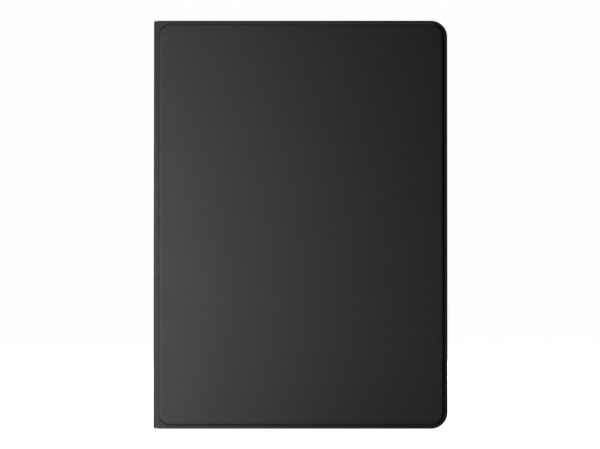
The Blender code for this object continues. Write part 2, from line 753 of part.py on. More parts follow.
def unit_loop(inset=0.0):
    near, far = 0.003 - min(inset, 0.002), 0.007 - inset
    return rounded_loop(
        UNIT_LEFT + inset, UNIT_RIGHT - inset, UNIT_LOW + inset, UNIT_HIGH - inset,
        (near, far, far, near),
    )


SOCKET_X = (0.056, 0.064)
SWITCH_X = (0.0400, 0.0474)
LENS_X, LENS_Z = (UNIT_LEFT + 0.0050, UNIT_LEFT + 0.0066), (TOP - 0.026, TOP - 0.016)


def add_keyboard_housing(cover):
    """The base pan and the deck, with openings for keys, touchpad, socket, switch and lens."""
    base = sheet("keyboard_base", [unit_loop()], KEYBOARD_BASE_Y)
    cavity_floor = KEYBOARD_BASE_Y[0] + KEYBOARD_FLOOR
    cavity = sheet(
        "base_cavity", [unit_loop(KEYBOARD_WALL)], (cavity_floor, KEYBOARD_BASE_Y[1] + 0.001)
    )
    boolean(base, cavity)
    end_wall = (UNIT_HIGH - 2 * KEYBOARD_WALL, UNIT_HIGH + BOOLEAN_REACH)
    boolean(
        base,
        block(
            "socket_notch", (SOCKET_X[0] - 0.0002, SOCKET_X[1] + 0.0002),
            (cavity_floor, KEYBOARD_BASE_Y[1] + 0.001), end_wall,
        ),
    )
    boolean(
        base,
        block("switch_slot", SWITCH_X, (cavity_floor + 0.0005, cavity_floor + 0.0021), end_wall),
    )
    finish(base, "deck", cover)
    holes = [
        rounded_loop(x[0] - DECK_CLEARANCE, x[1] + DECK_CLEARANCE, z[0] - DECK_CLEARANCE, z[1] + DECK_CLEARANCE)
        for _, _, x, z in key_places()
    ]
    half_x, half_z = (side / 2 + DECK_CLEARANCE for side in TOUCHPAD_SIZE)
    holes.append(
        rounded_loop(
            TOUCHPAD_X - half_x, TOUCHPAD_X + half_x, MIDDLE - half_z, MIDDLE + half_z, (0.0023,) * 4
        )
    )
    holes.append(rounded_loop(LENS_X[0] - GLUE, LENS_X[1] + GLUE, LENS_Z[0] - GLUE, LENS_Z[1] + GLUE))
    deck = sheet("keyboard_deck", [unit_loop(), *holes], DECK_Y)
    finish(deck, "deck", cover)


def add_keyboard_inside(cover):
    """What the housing holds: plate, membrane, domes, battery, board, socket, magnets and lens."""
    field_x = (KEYS_START_X - 0.001, row_limits(5)[1] + 0.001)
    field_z = (MIDDLE - 7 * KEY_PITCH - 0.001, MIDDLE + 7 * KEY_PITCH + 0.001)
    finish(block("support_plate", field_x, PLATE_Y, field_z), "steel", cover)
    finish(block("switch_membrane", field_x, MEMBRANE_Y, field_z), "membrane", cover)
    domes = block("dome_sheet", field_x, DOME_SHEET_Y, field_z)
    for number, (_, _, x, z) in enumerate(key_places()):
        middle_y = (DOME_SHEET_Y[0] + DOME_TOP) / 2 + GLUE / 2
        center = ((x[0] + x[1]) / 2, middle_y, (z[0] + z[1]) / 2)
        dome = rod(f"dome_{number:02d}", center, 0.0022, DOME_TOP - DOME_SHEET_Y[0] - GLUE, "Y", 6)
        boolean(domes, dome, "UNION")
    finish(domes, "silicone", cover)
    floor = KEYBOARD_BASE_Y[0] + KEYBOARD_FLOOR + GLUE
    battery = block(
        "battery_cell", (0.034, 0.074), (floor, floor + 0.0024), (0.014, 0.074), bevel=0.0006
    )
    finish(battery, "battery", cover)
    circuit = block("circuit_board", (0.034, 0.074), (floor, floor + 0.0008), (0.196, 0.2396))
    finish(circuit, "circuit", cover)
    socket = block("usb_socket", SOCKET_X, (floor, floor + 0.0025), (0.2403, UNIT_HIGH - GLUE))
    mouth = block(
        "usb_mouth", (SOCKET_X[0] + 0.0006, SOCKET_X[1] - 0.0006), (floor + 0.0005, floor + 0.0020),
        (0.2413, UNIT_HIGH + BOOLEAN_REACH),
    )
    tongue = block(
        "usb_tongue", (SOCKET_X[0] + 0.0014, SOCKET_X[1] - 0.0014), (floor + 0.0010, floor + 0.0015),
        (0.2405, UNIT_HIGH - 0.0012),
    )
    boolean(socket, mouth)
    boolean(socket, tongue, "UNION")
    finish(socket, "steel", cover)
    lens = block("status_lens", LENS_X, (DECK_Y[0] - 0.0008, DECK_Y[1]), LENS_Z)
    finish(lens, "lens", cover)
    for end, side in (("bottom", -1), ("top", 1)):
        magnet_z = sorted((MIDDLE + side * 0.049, MIDDLE + side * 0.073))
        magnet = block(
            f"closure_magnet_{end}", (UNIT_RIGHT - 0.0062, UNIT_RIGHT - 0.0016),
            (floor, floor + 0.0024), magnet_z,
        )
        finish(magnet, "magnet", cover)
        pad_z = sorted((MIDDLE + side * 0.081, MIDDLE + side * 0.111))
        pad = block(
            f"screen_bumper_{end}", (UNIT_RIGHT - 0.0050, UNIT_RIGHT - 0.0026),
            (DECK_Y[1] + GLUE, DECK_Y[1] + 0.0023), pad_z, bevel=0.0004,
        )
        finish(pad, "rubber", cover)


def add_touchpad(cover):
    half_x, half_z = (side / 2 for side in TOUCHPAD_SIZE)
    middle_y = (DECK_Y[0] + DECK_Y[1]) / 2
    guide = joint_empty("touchpad_guide", TOUCHPAD_X, middle_y)
    carry(guide, cover)
    loop = rounded_loop(
        TOUCHPAD_X - half_x, TOUCHPAD_X + half_x, MIDDLE - half_z, MIDDLE + half_z, (0.002,) * 4
    )
    pad = sheet("touchpad", [loop], (DECK_Y[0] + GLUE, DECK_Y[1] + 0.00005))
    finish(pad, "deck", guide)


def add_power_switch(cover):
    """The sliding power switch: a knob outside the wall and a flange that keeps it in."""
    cavity_floor = KEYBOARD_BASE_Y[0] + KEYBOARD_FLOOR
    guide = joint_empty("power_switch_guide", SWITCH_X[0], cavity_floor, UNIT_HIGH)
    carry(guide, cover)
    knob_x = (SWITCH_X[0] + 0.0004, SWITCH_X[0] + 0.0038)
    wall = UNIT_HIGH - KEYBOARD_WALL
    knob = block(
        "power_knob", knob_x, (cavity_floor + 0.0007, cavity_floor + 0.0019),
        (wall - 0.0012, UNIT_HIGH + 0.0009),
    )
    flange = block(
        "power_knob_flange", (knob_x[0] - 0.0010, knob_x[1] + 0.0010),
        (cavity_floor + 0.0002, cavity_floor + 0.0024), (wall - 0.0014, wall - 0.0002),
    )
    boolean(knob, flange, "UNION")
    finish(knob, "shell", guide)


def main():
    start_empty_scene()
    spine_hinge = joint_empty("spine_hinge", FOLD_X, FOLD_Y)
    cover_hinge = joint_empty("cover_hinge", FOLD_X, -FOLD_Y)
    carry(cover_hinge, spine_hinge)
    stand_hinge = joint_empty("stand_hinge", STAND_AXIS_X, STAND_AXIS_Y)
    add_front_cover(cover_hinge)
    add_spine(spine_hinge)
    add_tray()
    add_back_panel()
    add_kickstand(stand_hinge)
    add_keyboard_housing(cover_hinge)
    add_keyboard_inside(cover_hinge)
    add_keys(cover_hinge)
    add_touchpad(cover_hinge)
    add_power_switch(cover_hinge)


main()
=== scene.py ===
"""The looks of a closed tablet keyboard case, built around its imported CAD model.

The pieces follow the order in which the case is made up: the leather folio, the tray and back, the
kickstand, and then the keyboard inside the front cover.
"""

import math

import bmesh
import bpy
from mathutils import Matrix, Vector


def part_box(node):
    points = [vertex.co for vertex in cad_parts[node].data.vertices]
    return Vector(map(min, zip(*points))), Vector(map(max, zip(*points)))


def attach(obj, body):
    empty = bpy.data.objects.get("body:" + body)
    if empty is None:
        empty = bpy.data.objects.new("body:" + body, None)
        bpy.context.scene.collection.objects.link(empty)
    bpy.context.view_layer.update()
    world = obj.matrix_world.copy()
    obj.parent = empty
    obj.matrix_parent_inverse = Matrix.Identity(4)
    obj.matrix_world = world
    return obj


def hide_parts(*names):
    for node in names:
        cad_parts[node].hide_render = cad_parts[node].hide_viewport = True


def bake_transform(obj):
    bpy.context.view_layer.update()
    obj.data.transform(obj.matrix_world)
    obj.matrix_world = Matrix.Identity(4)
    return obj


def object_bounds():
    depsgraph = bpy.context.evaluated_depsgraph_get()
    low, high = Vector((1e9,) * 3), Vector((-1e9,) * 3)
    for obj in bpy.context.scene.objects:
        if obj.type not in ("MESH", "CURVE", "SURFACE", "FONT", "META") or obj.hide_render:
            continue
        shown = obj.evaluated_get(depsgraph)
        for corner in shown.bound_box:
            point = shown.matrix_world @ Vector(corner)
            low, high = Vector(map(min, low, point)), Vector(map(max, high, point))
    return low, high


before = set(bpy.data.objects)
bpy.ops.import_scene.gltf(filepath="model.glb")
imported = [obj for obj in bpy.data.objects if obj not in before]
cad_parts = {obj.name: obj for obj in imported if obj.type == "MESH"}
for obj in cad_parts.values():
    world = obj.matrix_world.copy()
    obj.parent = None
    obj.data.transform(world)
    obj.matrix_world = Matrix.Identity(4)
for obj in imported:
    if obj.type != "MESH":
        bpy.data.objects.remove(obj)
cad_low, cad_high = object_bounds()
MIDDLE_Z = (cad_low.z + cad_high.z) / 2


# Camera. A long lens, square to the front face but for a degree of upward tilt.
VIEW_WIDTH = 0.36725
CAMERA_DISTANCE = 1.5
CAMERA_PITCH = math.radians(0.9)

camera_data = bpy.data.cameras.new("camera")
camera_data.lens = camera_data.sensor_width * CAMERA_DISTANCE / VIEW_WIDTH
camera_data.clip_start, camera_data.clip_end = 0.05, 20
camera = bpy.data.objects.new("camera", camera_data)
camera.location = (
    -0.0003, cad_low.y - CAMERA_DISTANCE, 0.12493 - CAMERA_DISTANCE * math.tan(CAMERA_PITCH)
)
camera.rotation_euler = (math.radians(90) + CAMERA_PITCH, 0, 0)
bpy.context.scene.collection.objects.link(camera)
bpy.context.scene.camera = camera
bpy.context.scene.view_settings.view_transform = "Standard"


# Studio. A white sweep, a narrow softbox low on the left whose light fades across the cover, and
# wide ones behind, above and at the right that give the back and the edges their shape.
SURROUND = 0.03
BACKDROP = (0.992, 0.992, 0.992, 1)
FLOOR_GLOW = 0.97
FLOOR_REACH = 6.0

world = bpy.data.worlds.new("studio")
world.use_nodes = True
bpy.context.scene.world = world
air = world.node_tree
air.nodes.clear()
seen = air.nodes.new("ShaderNodeBackground")
seen.inputs["Color"].default_value = BACKDROP
around = air.nodes.new("ShaderNodeBackground")
around.inputs["Strength"].default_value = SURROUND
ray = air.nodes.new("ShaderNodeLightPath")
either = air.nodes.new("ShaderNodeMixShader")
sky = air.nodes.new("ShaderNodeOutputWorld")
air.links.new(ray.outputs["Is Camera Ray"], either.inputs["Fac"])
air.links.new(around.outputs["Background"], either.inputs[1])
air.links.new(seen.outputs["Background"], either.inputs[2])
air.links.new(either.outputs["Shader"], sky.inputs["Surface"])


def softbox(name, place, target, width, height, watts, spread_degrees=180):
    """A rectangular light, unseen by the camera, that faces its target."""
    light = bpy.data.lights.new(name, "AREA")
    light.shape = "RECTANGLE"
    light.size, light.size_y, light.energy = width, height, watts
    light.spread = math.radians(spread_degrees)
    holder = bpy.data.objects.new(name, light)
    holder.location = place
    holder.rotation_euler = (Vector(target) - Vector(place)).to_track_quat("-Z", "Y").to_euler()
    holder.visible_camera = False
    bpy.context.scene.collection.objects.link(holder)


softbox("softbox_left", (-0.464, -0.838, 0.046), (-0.4715, -0.588, 0.058), 0.28, 0.07, 2.92, 82)
softbox("softbox_back_left", (-0.7, 0.75, 0.55), (0, 0, 0.12), 0.6, 0.6, 7)
softbox("softbox_back_right", (0.35, 0.95, 0.35), (0, 0, 0.12), 0.4, 0.6, 6)
softbox("softbox_top", (0, 0.22, 0.95), (0, 0, 0.1), 0.5, 0.5, 3)
softbox("softbox_right", (0.75, 0.42, 0.22), (0, 0, 0.12), 0.3, 0.5, 4)

floor_material = bpy.data.materials.new("sweep")
floor_material.use_nodes = True
floor_shader = floor_material.node_tree.nodes["Principled BSDF"]
floor_shader.inputs["Base Color"].default_value = (0.4, 0.4, 0.4, 1)
floor_shader.inputs["Roughness"].default_value = 0.9
floor_shader.inputs["Emission Color"].default_value = (1, 1, 1, 1)
floor_seen = floor_material.node_tree.nodes.new("ShaderNodeLightPath")
floor_glow = floor_material.node_tree.nodes.new("ShaderNodeMath")
floor_glow.operation = "MULTIPLY"
floor_glow.inputs[1].default_value = FLOOR_GLOW
floor_material.node_tree.links.new(floor_seen.outputs["Is Camera Ray"], floor_glow.inputs[0])
floor_material.node_tree.links.new(
    floor_glow.outputs["Value"], floor_shader.inputs["Emission Strength"]
)
floor_mesh = bpy.data.meshes.new("floor")
floor_mesh.from_pydata(
    [(-FLOOR_REACH, -FLOOR_REACH, 0), (FLOOR_REACH, -FLOOR_REACH, 0),
     (FLOOR_REACH, FLOOR_REACH, 0), (-FLOOR_REACH, FLOOR_REACH, 0)],
    [], [(0, 1, 2, 3)],
)
floor_mesh.materials.append(floor_material)
floor = bpy.data.objects.new("floor", floor_mesh)
bpy.context.scene.collection.objects.link(floor)


# Artificial leather: polyurethane film embossed with a fine pebble, on a knitted backing. One film
# covers the front cover, the spine, the back and the kickstand.
def shader_group(name, inputs, outputs):
    """An empty shader node group with named sockets, and its group input and output nodes."""
    group = bpy.data.node_groups.new(name, "ShaderNodeTree")
    for label, kind, value in inputs:
        socket = group.interface.new_socket(label, in_out="INPUT", socket_type=kind)
        if value is not None:
            socket.default_value = value
    for label, kind in outputs:
        group.interface.new_socket(label, in_out="OUTPUT", socket_type=kind)
    return group, group.nodes.new("NodeGroupInput"), group.nodes.new("NodeGroupOutput")


def node(tree, kind, inputs=(), **settings):
    """A node with its settings, its plain input values and the sockets that feed it."""
    made = tree.nodes.new(kind)
    for key, value in settings.items():
        setattr(made, key, value)
    for key, value in dict(inputs).items():
        if isinstance(value, bpy.types.NodeSocket):
            tree.links.new(value, made.inputs[key])
        else:
            made.inputs[key].default_value = value
    return made


def math_node(tree, operation, first, second):
    return node(tree, "ShaderNodeMath", {0: first, 1: second}, operation=operation).outputs["Value"]


def spread(tree, value, low, high, start=0.0, end=1.0):
    """Moves a value from start..end to low..high."""
    return node(
        tree, "ShaderNodeMapRange",
        {"Value": value, "From Min": start, "From Max": end, "To Min": low, "To Max": high},
    ).outputs["Result"]


def grain_group():
    """Pebbled grain: its height, how deep in a crease a point is, and two sizes of mottle."""
    group, given, out = shader_group(
        "leather_grain",
        [("Vector", "NodeSocketVector", None), ("Pebble", "NodeSocketFloat", 1100.0),
         ("Mottle Size", "NodeSocketFloat", 55.0)],
        [("Height", "NodeSocketFloat"), ("Crease", "NodeSocketFloat"), ("Mottle", "NodeSocketFloat"),
         ("Fleck", "NodeSocketFloat")],
    )
    place = given.outputs["Vector"]
    warp = node(group, "ShaderNodeTexNoise", {"Vector": place, "Scale": 420.0, "Detail": 2.0})
    bent = node(
        group, "ShaderNodeVectorMath",
        {0: warp.outputs["Color"], 1: (0.0006, 0.0006, 0.0006)}, operation="MULTIPLY",
    )
    moved = node(group, "ShaderNodeVectorMath", {0: place, 1: bent.outputs[0]}, operation="ADD")
    cells = node(
        group, "ShaderNodeTexVoronoi",
        {"Vector": moved.outputs[0], "Scale": given.outputs["Pebble"]}, feature="DISTANCE_TO_EDGE",
    )
    crease = spread(group, cells.outputs["Distance"], 1.0, 0.0, 0.0, 0.16)
    fine = node(group, "ShaderNodeTexNoise", {"Vector": place, "Scale": 3800.0, "Detail": 3.0})
    pebble = math_node(group, "MULTIPLY", crease, -0.7)
    pore = math_node(group, "MULTIPLY", fine.outputs["Fac"], 0.35)
    height = math_node(group, "ADD", pebble, pore)
    slow = node(
        group, "ShaderNodeTexNoise",
        {"Vector": place, "Scale": given.outputs["Mottle Size"], "Detail": 5.0, "Roughness": 0.6},
    )
    group.links.new(height, out.inputs["Height"])
    group.links.new(crease, out.inputs["Crease"])
    group.links.new(slow.outputs["Fac"], out.inputs["Mottle"])
    fleck = node(group, "ShaderNodeTexNoise", {"Vector": place, "Scale": 700.0, "Detail": 2.0})
    group.links.new(fleck.outputs["Fac"], out.inputs["Fleck"])
    return group


def edge_group():
    """Polish along outer edges, where the surface bends away from a corner."""
    group, given, out = shader_group(
        "edge_polish", [("Start", "NodeSocketFloat", 0.52), ("End", "NodeSocketFloat", 0.62)],
        [("Mask", "NodeSocketFloat")],
    )
    shape = node(group, "ShaderNodeNewGeometry")
    mask = node(
        group, "ShaderNodeMapRange",
        {"Value": shape.outputs["Pointiness"], "From Min": given.outputs["Start"],
         "From Max": given.outputs["End"]},
    )
    group.links.new(mask.outputs["Result"], out.inputs["Mask"])
    return group


GRAIN, EDGE = grain_group(), edge_group()


def blank_material(name):
    made = bpy.data.materials.new(name)
    made.use_nodes = True
    tree = made.node_tree
    return made, tree, tree.nodes["Principled BSDF"]


def place_group(tree, group, inputs=()):
    return node(tree, "ShaderNodeGroup", inputs, node_tree=group)


def two_tones(tree, mask, dark, light):
    """A colour that goes from dark to light as the mask goes from nothing to one."""
    mix = node(tree, "ShaderNodeMix", data_type="RGBA")
    tree.links.new(mask, mix.inputs["Factor"])
    mix.inputs["A"].default_value = (*dark, 1)
    mix.inputs["B"].default_value = (*light, 1)
    return mix.outputs["Result"]


def bump(tree, shader, height, distance, strength=1.0):
    raised = node(
        tree, "ShaderNodeBump", {"Height": height, "Distance": distance, "Strength": strength}
    )
    tree.links.new(raised.outputs["Normal"], shader.inputs["Normal"])


def leather_material(name, dark, light, shade_color):
    """Embossed film. A mesh's shade attribute lays painted shade on it: a darker colour, and a duller
    surface.
    """
    made, tree, shader = blank_material(name)
    where = node(tree, "ShaderNodeTexCoord").outputs["Object"]
    grain = place_group(tree, GRAIN, {"Vector": where})
    edge = place_group(tree, EDGE)
    slow = math_node(tree, "MULTIPLY", grain.outputs["Mottle"], 0.35)
    uneven = math_node(tree, "ADD", slow, math_node(tree, "MULTIPLY", grain.outputs["Fleck"], 0.7))
    creased = math_node(tree, "MULTIPLY", grain.outputs["Crease"], -0.5)
    tone = math_node(tree, "ADD", uneven, creased)
    color = two_tones(tree, spread(tree, tone, 0.0, 1.0, 0.1, 0.65), dark, light)
    # Painted shade: the mesh attribute mixes the colour towards a near-black, standing in for the shadow
    # in the crease by the opening edge.
    crease_shade = node(tree, "ShaderNodeAttribute", attribute_name="crease_shade").outputs["Fac"]
    shade_mix = node(tree, "ShaderNodeMix", data_type="RGBA")
    tree.links.new(crease_shade, shade_mix.inputs["Factor"])
    tree.links.new(color, shade_mix.inputs["A"])
    shade_mix.inputs["B"].default_value = (*shade_color, 1)
    tree.links.new(shade_mix.outputs["Result"], shader.inputs["Base Color"])
    rough = spread(tree, grain.outputs["Mottle"], 0.535, 0.565, 0.3, 0.7)
    polished = math_node(tree, "MULTIPLY", edge.outputs["Mask"], -0.10)
    dulled = math_node(tree, "MULTIPLY", crease_shade, 0.35)
    worn = math_node(tree, "ADD", polished, dulled)
    tree.links.new(math_node(tree, "ADD", rough, worn), shader.inputs["Roughness"])
    bump(tree, shader, grain.outputs["Height"], 0.00006, 0.6)
    return made


# Dark tone, light tone, and the near-black of the painted shade in the opening crease.
LEATHER = leather_material(
    "leather", (0.0145, 0.0149, 0.0149), (0.0252, 0.0258, 0.0260), (0.002, 0.002, 0.002)
)


# The front cover's leather, wrapped over a board. The board's edge shows as a raised panel inside a
# flat turned border, and the leather runs down to the border in a soft slope.
LEAST_RADIUS = 0.00015


def ring(left, right, low, high, y, radii, flatten=(0, 0, 0, 0), corner_steps=20):
    """Points around a box with rounded corners, at depth y, from the bottom left corner.

    Flatten draws each corner's arc towards its chord, as a board with clipped corners does.
    """
    corners = (
        (left, low, 180, 1, 1), (right, low, 270, -1, 1), (right, high, 0, -1, -1),
        (left, high, 90, 1, -1),
    )
    points = []
    for (x, z, start, sx, sz), radius, flat in zip(corners, radii, flatten):
        radius = max(radius, LEAST_RADIUS)
        arc = []
        for step in range(corner_steps + 1):
            angle = math.radians(start + 90 * step / corner_steps)
            arc.append(
                Vector((x + radius * (sx + math.cos(angle)), y, z + radius * (sz + math.sin(angle))))
            )
        for step, point in enumerate(arc):
            chord = arc[0].lerp(arc[-1], step / corner_steps)
            points.append(point.lerp(chord, flat))
    return points


def new_object(name, mesh):
    made = bpy.data.objects.new(name, mesh)
    bpy.context.scene.collection.objects.link(made)
    return made


def loft(name, rings):
    """A closed solid through rings of equal numbers of points, with a cap at each end."""
    mesh = bpy.data.meshes.new(name)
    work = bmesh.new()
    rows = [[work.verts.new(point) for point in points] for points in rings]
    for first, second in zip(rows, rows[1:]):
        count = len(first)
        for i in range(count):
            j = (i + 1) % count
            work.faces.new((first[i], first[j], second[j], second[i]))
    work.faces.new(rows[0])
    work.faces.new(rows[-1])
    bmesh.ops.remove_doubles(work, verts=work.verts, dist=1e-7)
    bmesh.ops.recalc_face_normals(work, faces=work.faces)
    work.to_mesh(mesh)
    work.free()
    return new_object(name, mesh)


def plain_mesh(piece):
    """The mesh of a piece with its modifiers worked out."""
    bpy.context.view_layer.update()
    graph = bpy.context.evaluated_depsgraph_get()
    return bpy.data.meshes.new_from_object(piece.evaluated_get(graph))


def keep_plain(piece):
    """Puts that plain mesh in the place of the piece's own."""
    mesh = plain_mesh(piece)
    piece.modifiers.clear()
    piece.data = mesh


def settle(piece, material, body, replaced=(), sharp=40, flats=False):
    """Gives a finished piece its material and smoothing, and lets it ride on its body.

    Flats keeps the large flat faces evenly shaded up to their rounded edges.
    """
    piece.data.materials.clear()
    piece.data.materials.append(material)
    piece.data.shade_smooth()
    piece.data.set_sharp_from_angle(angle=math.radians(sharp))
    if flats:
        weighting = piece.modifiers.new("flats", "WEIGHTED_NORMAL")
        weighting.mode, weighting.weight, weighting.keep_sharp = "FACE_AREA", 100, True
        keep_plain(piece)
    if replaced:
        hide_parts(*replaced)
    if body:
        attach(piece, body)


def inset_radii(radii, inset):
    return tuple(radius - inset for radius in radii)


def slab_rings(box, radii, y_inner, y_outer, inner_edge, outer_edge, segments=4, corner_steps=20):
    """Rings of a plate with rounded rims: a quarter circle at each face's edge."""
    left, right, low, high = box
    side = 1 if y_inner > y_outer else -1
    steps = [(inner_edge * 3, y_inner)]
    for k in range(segments + 1):
        turn = math.radians(90 * k / segments)
        steps.append(
            (inner_edge * (1 - math.sin(turn)), y_inner - side * inner_edge * (1 - math.cos(turn)))
        )
    for k in range(segments + 1):
        turn = math.radians(90 * k / segments)
        steps.append(
            (outer_edge * (1 - math.cos(turn)), y_outer + side * outer_edge * (1 - math.sin(turn)))
        )
    steps.append((outer_edge * 1.7, y_outer))
    return [
        ring(
            left + d, right - d, low + d, high - d, y, inset_radii(radii, d),
            corner_steps=corner_steps,
        )
        for d, y in steps
    ]


cover_low, cover_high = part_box("front_skin")
PANEL_RISE = 0.0009
BORDER_Y = cover_low.y + PANEL_RISE
COVER_EDGE = 0.0004
cover_box = (cover_low.x, cover_high.x, cover_low.z, cover_high.z)
COVER_RADII = (0.0008, 0.010, 0.010, 0.0008)
PANEL_BOX = (cover_low.x + 0.0012, cover_high.x - 0.0026, 0.0019, cover_high.z - 0.0015)
PANEL_RADII = (0.0068, 0.0084, 0.0084, 0.0068)
PANEL_FLAT = (0.22, 0.0, 0.0, 0.22)

# The slope in section: inset from the panel's foot, height over the border, and how much of the
# crease's depth applies. The widths stretch it at the left, the right, the bottom and the top.
PANEL_SLOPE = (
    (-0.00140, 0.0, 0.0), (-0.00122, 0.0, 0.06), (-0.00112, 0.0, 0.40), (-0.00106, 0.0, 0.88),
    (-0.00090, 0.0, 1.0), (-0.00012, 0.00001, 1.0), (0.00000, 0.00006, 0.8), (0.00010, 0.00022, 0.45),
    (0.00022, 0.00045, 0.15), (0.00036, 0.00063, 0.0), (0.00058, 0.00076, 0.0), (0.00086, 0.00085, 0.0),
    (0.00130, 0.00089, 0.0), (0.00220, 0.0009, 0.0), (0.0040, 0.0009, 0.0),
)
FOOT_WIDTHS = (0.3, 1.0, 0.5, 0.4)
SLOPE_WIDTHS = (0.35, 1.1, 1.2, 1.4)
SLOPE_END = 0.0013
CREASE_DEPTH = 0.00085
FOLD_CREASE_DEPTH = 0.0001
CREASE_FADE, FOLD_CREASE_FADE = 0.010, 0.006
OPENING_FADE = 0.012
# Painted shade along the opening edge: its strength on the flat border, and the rise up the panel's
# slope over which it fades out.
BORDER_SHADE, BORDER_SHADE_FADE = 0.5, 0.0003


def fade_in(amount):
    """Eases from nothing to one."""
    amount = min(1.0, max(0.0, amount))
    return amount * amount * (3 - 2 * amount)


def near_opening(x):
    """One along the opening edge, falling to nothing a little way in from it."""
    return fade_in(1 - (cover_high.x - x) / OPENING_FADE)


def raised_rings(box, radii, flatten, border_y, side, widths, crease=(0.0, 0.0)):
    """Rings that climb from the flat border to the raised panel. Side is the way that Y climbs.

    Crease is the depth of the line pressed in around the panel at its left and right side. It
    fades out round the corners.
    """
    left, right, low, high = box
    rings = []
    for d, rise, dip in PANEL_SLOPE:
        if d < 0 and not any(crease):
            continue
        insets = [
            d * foot if d < 0 else min(d, SLOPE_END) * slope + max(0.0, d - SLOPE_END)
            for foot, slope in zip(FOOT_WIDTHS, widths)
        ]
        points = ring(
            left + insets[0], right - insets[1], low + insets[2], high - insets[3],
            border_y + side * rise, inset_radii(radii, d), flatten,
        )
        for point in points:
            depth = crease[0] * fade_in(1 - (point.x - left) / FOLD_CREASE_FADE)
            depth += crease[1] * fade_in(1 - (right - point.x) / CREASE_FADE)
            point.y -= side * dip * depth
        rings.append(points)
    return rings


cover_rings = slab_rings(cover_box, COVER_RADII, cover_high.y, BORDER_Y, 0.0003, COVER_EDGE)
cover_rings += raised_rings(
    PANEL_BOX, PANEL_RADII, PANEL_FLAT, BORDER_Y, -1, SLOPE_WIDTHS, (FOLD_CREASE_DEPTH, CREASE_DEPTH)
)
cover_leather = loft("front_cover_leather", cover_rings)
# Painted shade: near the opening edge the groove round the panel gets full shade, and the border and the
# slope's foot less, in place of the raised panel's shadow.
crease_shade_marks = cover_leather.data.attributes.new("crease_shade", "FLOAT", "POINT")
for vertex, mark in zip(cover_leather.data.vertices, crease_shade_marks.data):
    sunk = vertex.co.y - BORDER_Y
    if sunk > 0:
        shade_amount = BORDER_SHADE + (1 - BORDER_SHADE) * min(1.0, 1.5 * sunk / CREASE_DEPTH)
    else:
        shade_amount = BORDER_SHADE * max(0.0, 1 + sunk / BORDER_SHADE_FADE)
    mark.value = shade_amount * near_opening(vertex.co.x)
settle(cover_leather, LEATHER, "front_cover", ["front_skin"])


# The spine's leather: a narrow channel with rounded shoulders, moulded hot over a strip of board.
# Its ends are cut back in a small curve, so that the corners don't catch.
spine_low, spine_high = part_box("spine_skin")
SHOULDER = 0.0016
SPINE_RIM = 0.0002
CUT_WIDTH, CUT_DEPTH = 0.0018, 0.0011


def spine_end(x, z_end, side):
    """How far the leather reaches at its end, which falls away towards the outer face."""
    across = min(1.0, max(0.0, (spine_low.x + CUT_WIDTH - x) / CUT_WIDTH))
    return z_end - side * CUT_DEPTH * (1 - math.sqrt(1 - across * across))


def spine_profile(inset):
    """The channel's outline in plan, from its back inner edge round the outside to the front."""
    left, right = spine_low.x + inset, spine_high.x - inset * 0.6
    end = spine_high.y - inset
    outline = []
    for k in range(13):
        turn = math.radians(90 * k / 12)
        outline.append((left + SHOULDER * (1 - math.sin(turn)), end - SHOULDER * (1 - math.cos(turn))))
    half = [(spine_low.x + 0.0007 + inset * 0.5, end - 0.0009), (right, end - 0.0009), (right, end)]
    back = half + outline
    return back + [(x, -y) for x, y in reversed(back)]


spine_steps = []
for side, z_end in ((-1, spine_low.z), (1, spine_high.z)):
    steps = []
    for k in range(5):
        turn = math.radians(90 * k / 4)
        inset = SPINE_RIM * 0.5 * (1 - math.cos(turn))
        back_off = SPINE_RIM * (1 - math.sin(turn))
        steps.append([
            Vector((x, y, spine_end(x, z_end, side) - side * back_off))
            for x, y in spine_profile(inset)
        ])
    spine_steps.append(steps)
spine_leather = loft("spine_leather", spine_steps[0][::-1] + spine_steps[1])
settle(spine_leather, LEATHER, "spine", ["spine_skin"])


# The folds. Bare leather about 2 mm wide, pressed thin, joins the cover and the back to the spine
# along each fold. A strip of lining does the same on the inner side.
FOLD_X = cover_low.x - 0.0002
FOLD_Y = -BORDER_Y
FOLD_END = 0.0004


def fold_strip(name, outline, side, material):
    """A long strip with the given outline in plan, which lies across one fold of the spine."""
    rows = 24
    length = spine_high.z - spine_low.z - 2 * FOLD_END
    rings = []
    for step in range(rows + 1):
        along = spine_low.z + FOLD_END + length * step / rows
        rings.append([Vector((x, side * y, along)) for x, y in outline])
    strip = loft(name, rings)
    settle(strip, material, None)
    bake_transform(strip)


def strip_outline(points, thickness):
    """A band of even thickness under a line of points."""
    return points + [(x, y - thickness) for x, y in reversed(points)]


OUTER_FOLD = [(-0.0012, -0.00055), (-0.0007, -0.00050), (-0.00035, -0.00047), (-0.0002, -0.00046),
              (-0.0001, -0.00045), (0.0, -0.00045), (0.0001, -0.00044), (0.0002, -0.00043),
              (0.00035, -0.00040), (0.0008, -0.00034)]
outer_fold = strip_outline([(FOLD_X + dx, FOLD_Y + dy) for dx, dy in OUTER_FOLD], 0.00022)
fold_strip("front_fold_leather", outer_fold, -1, LEATHER)
fold_strip("back_fold_leather", outer_fold, 1, LEATHER)


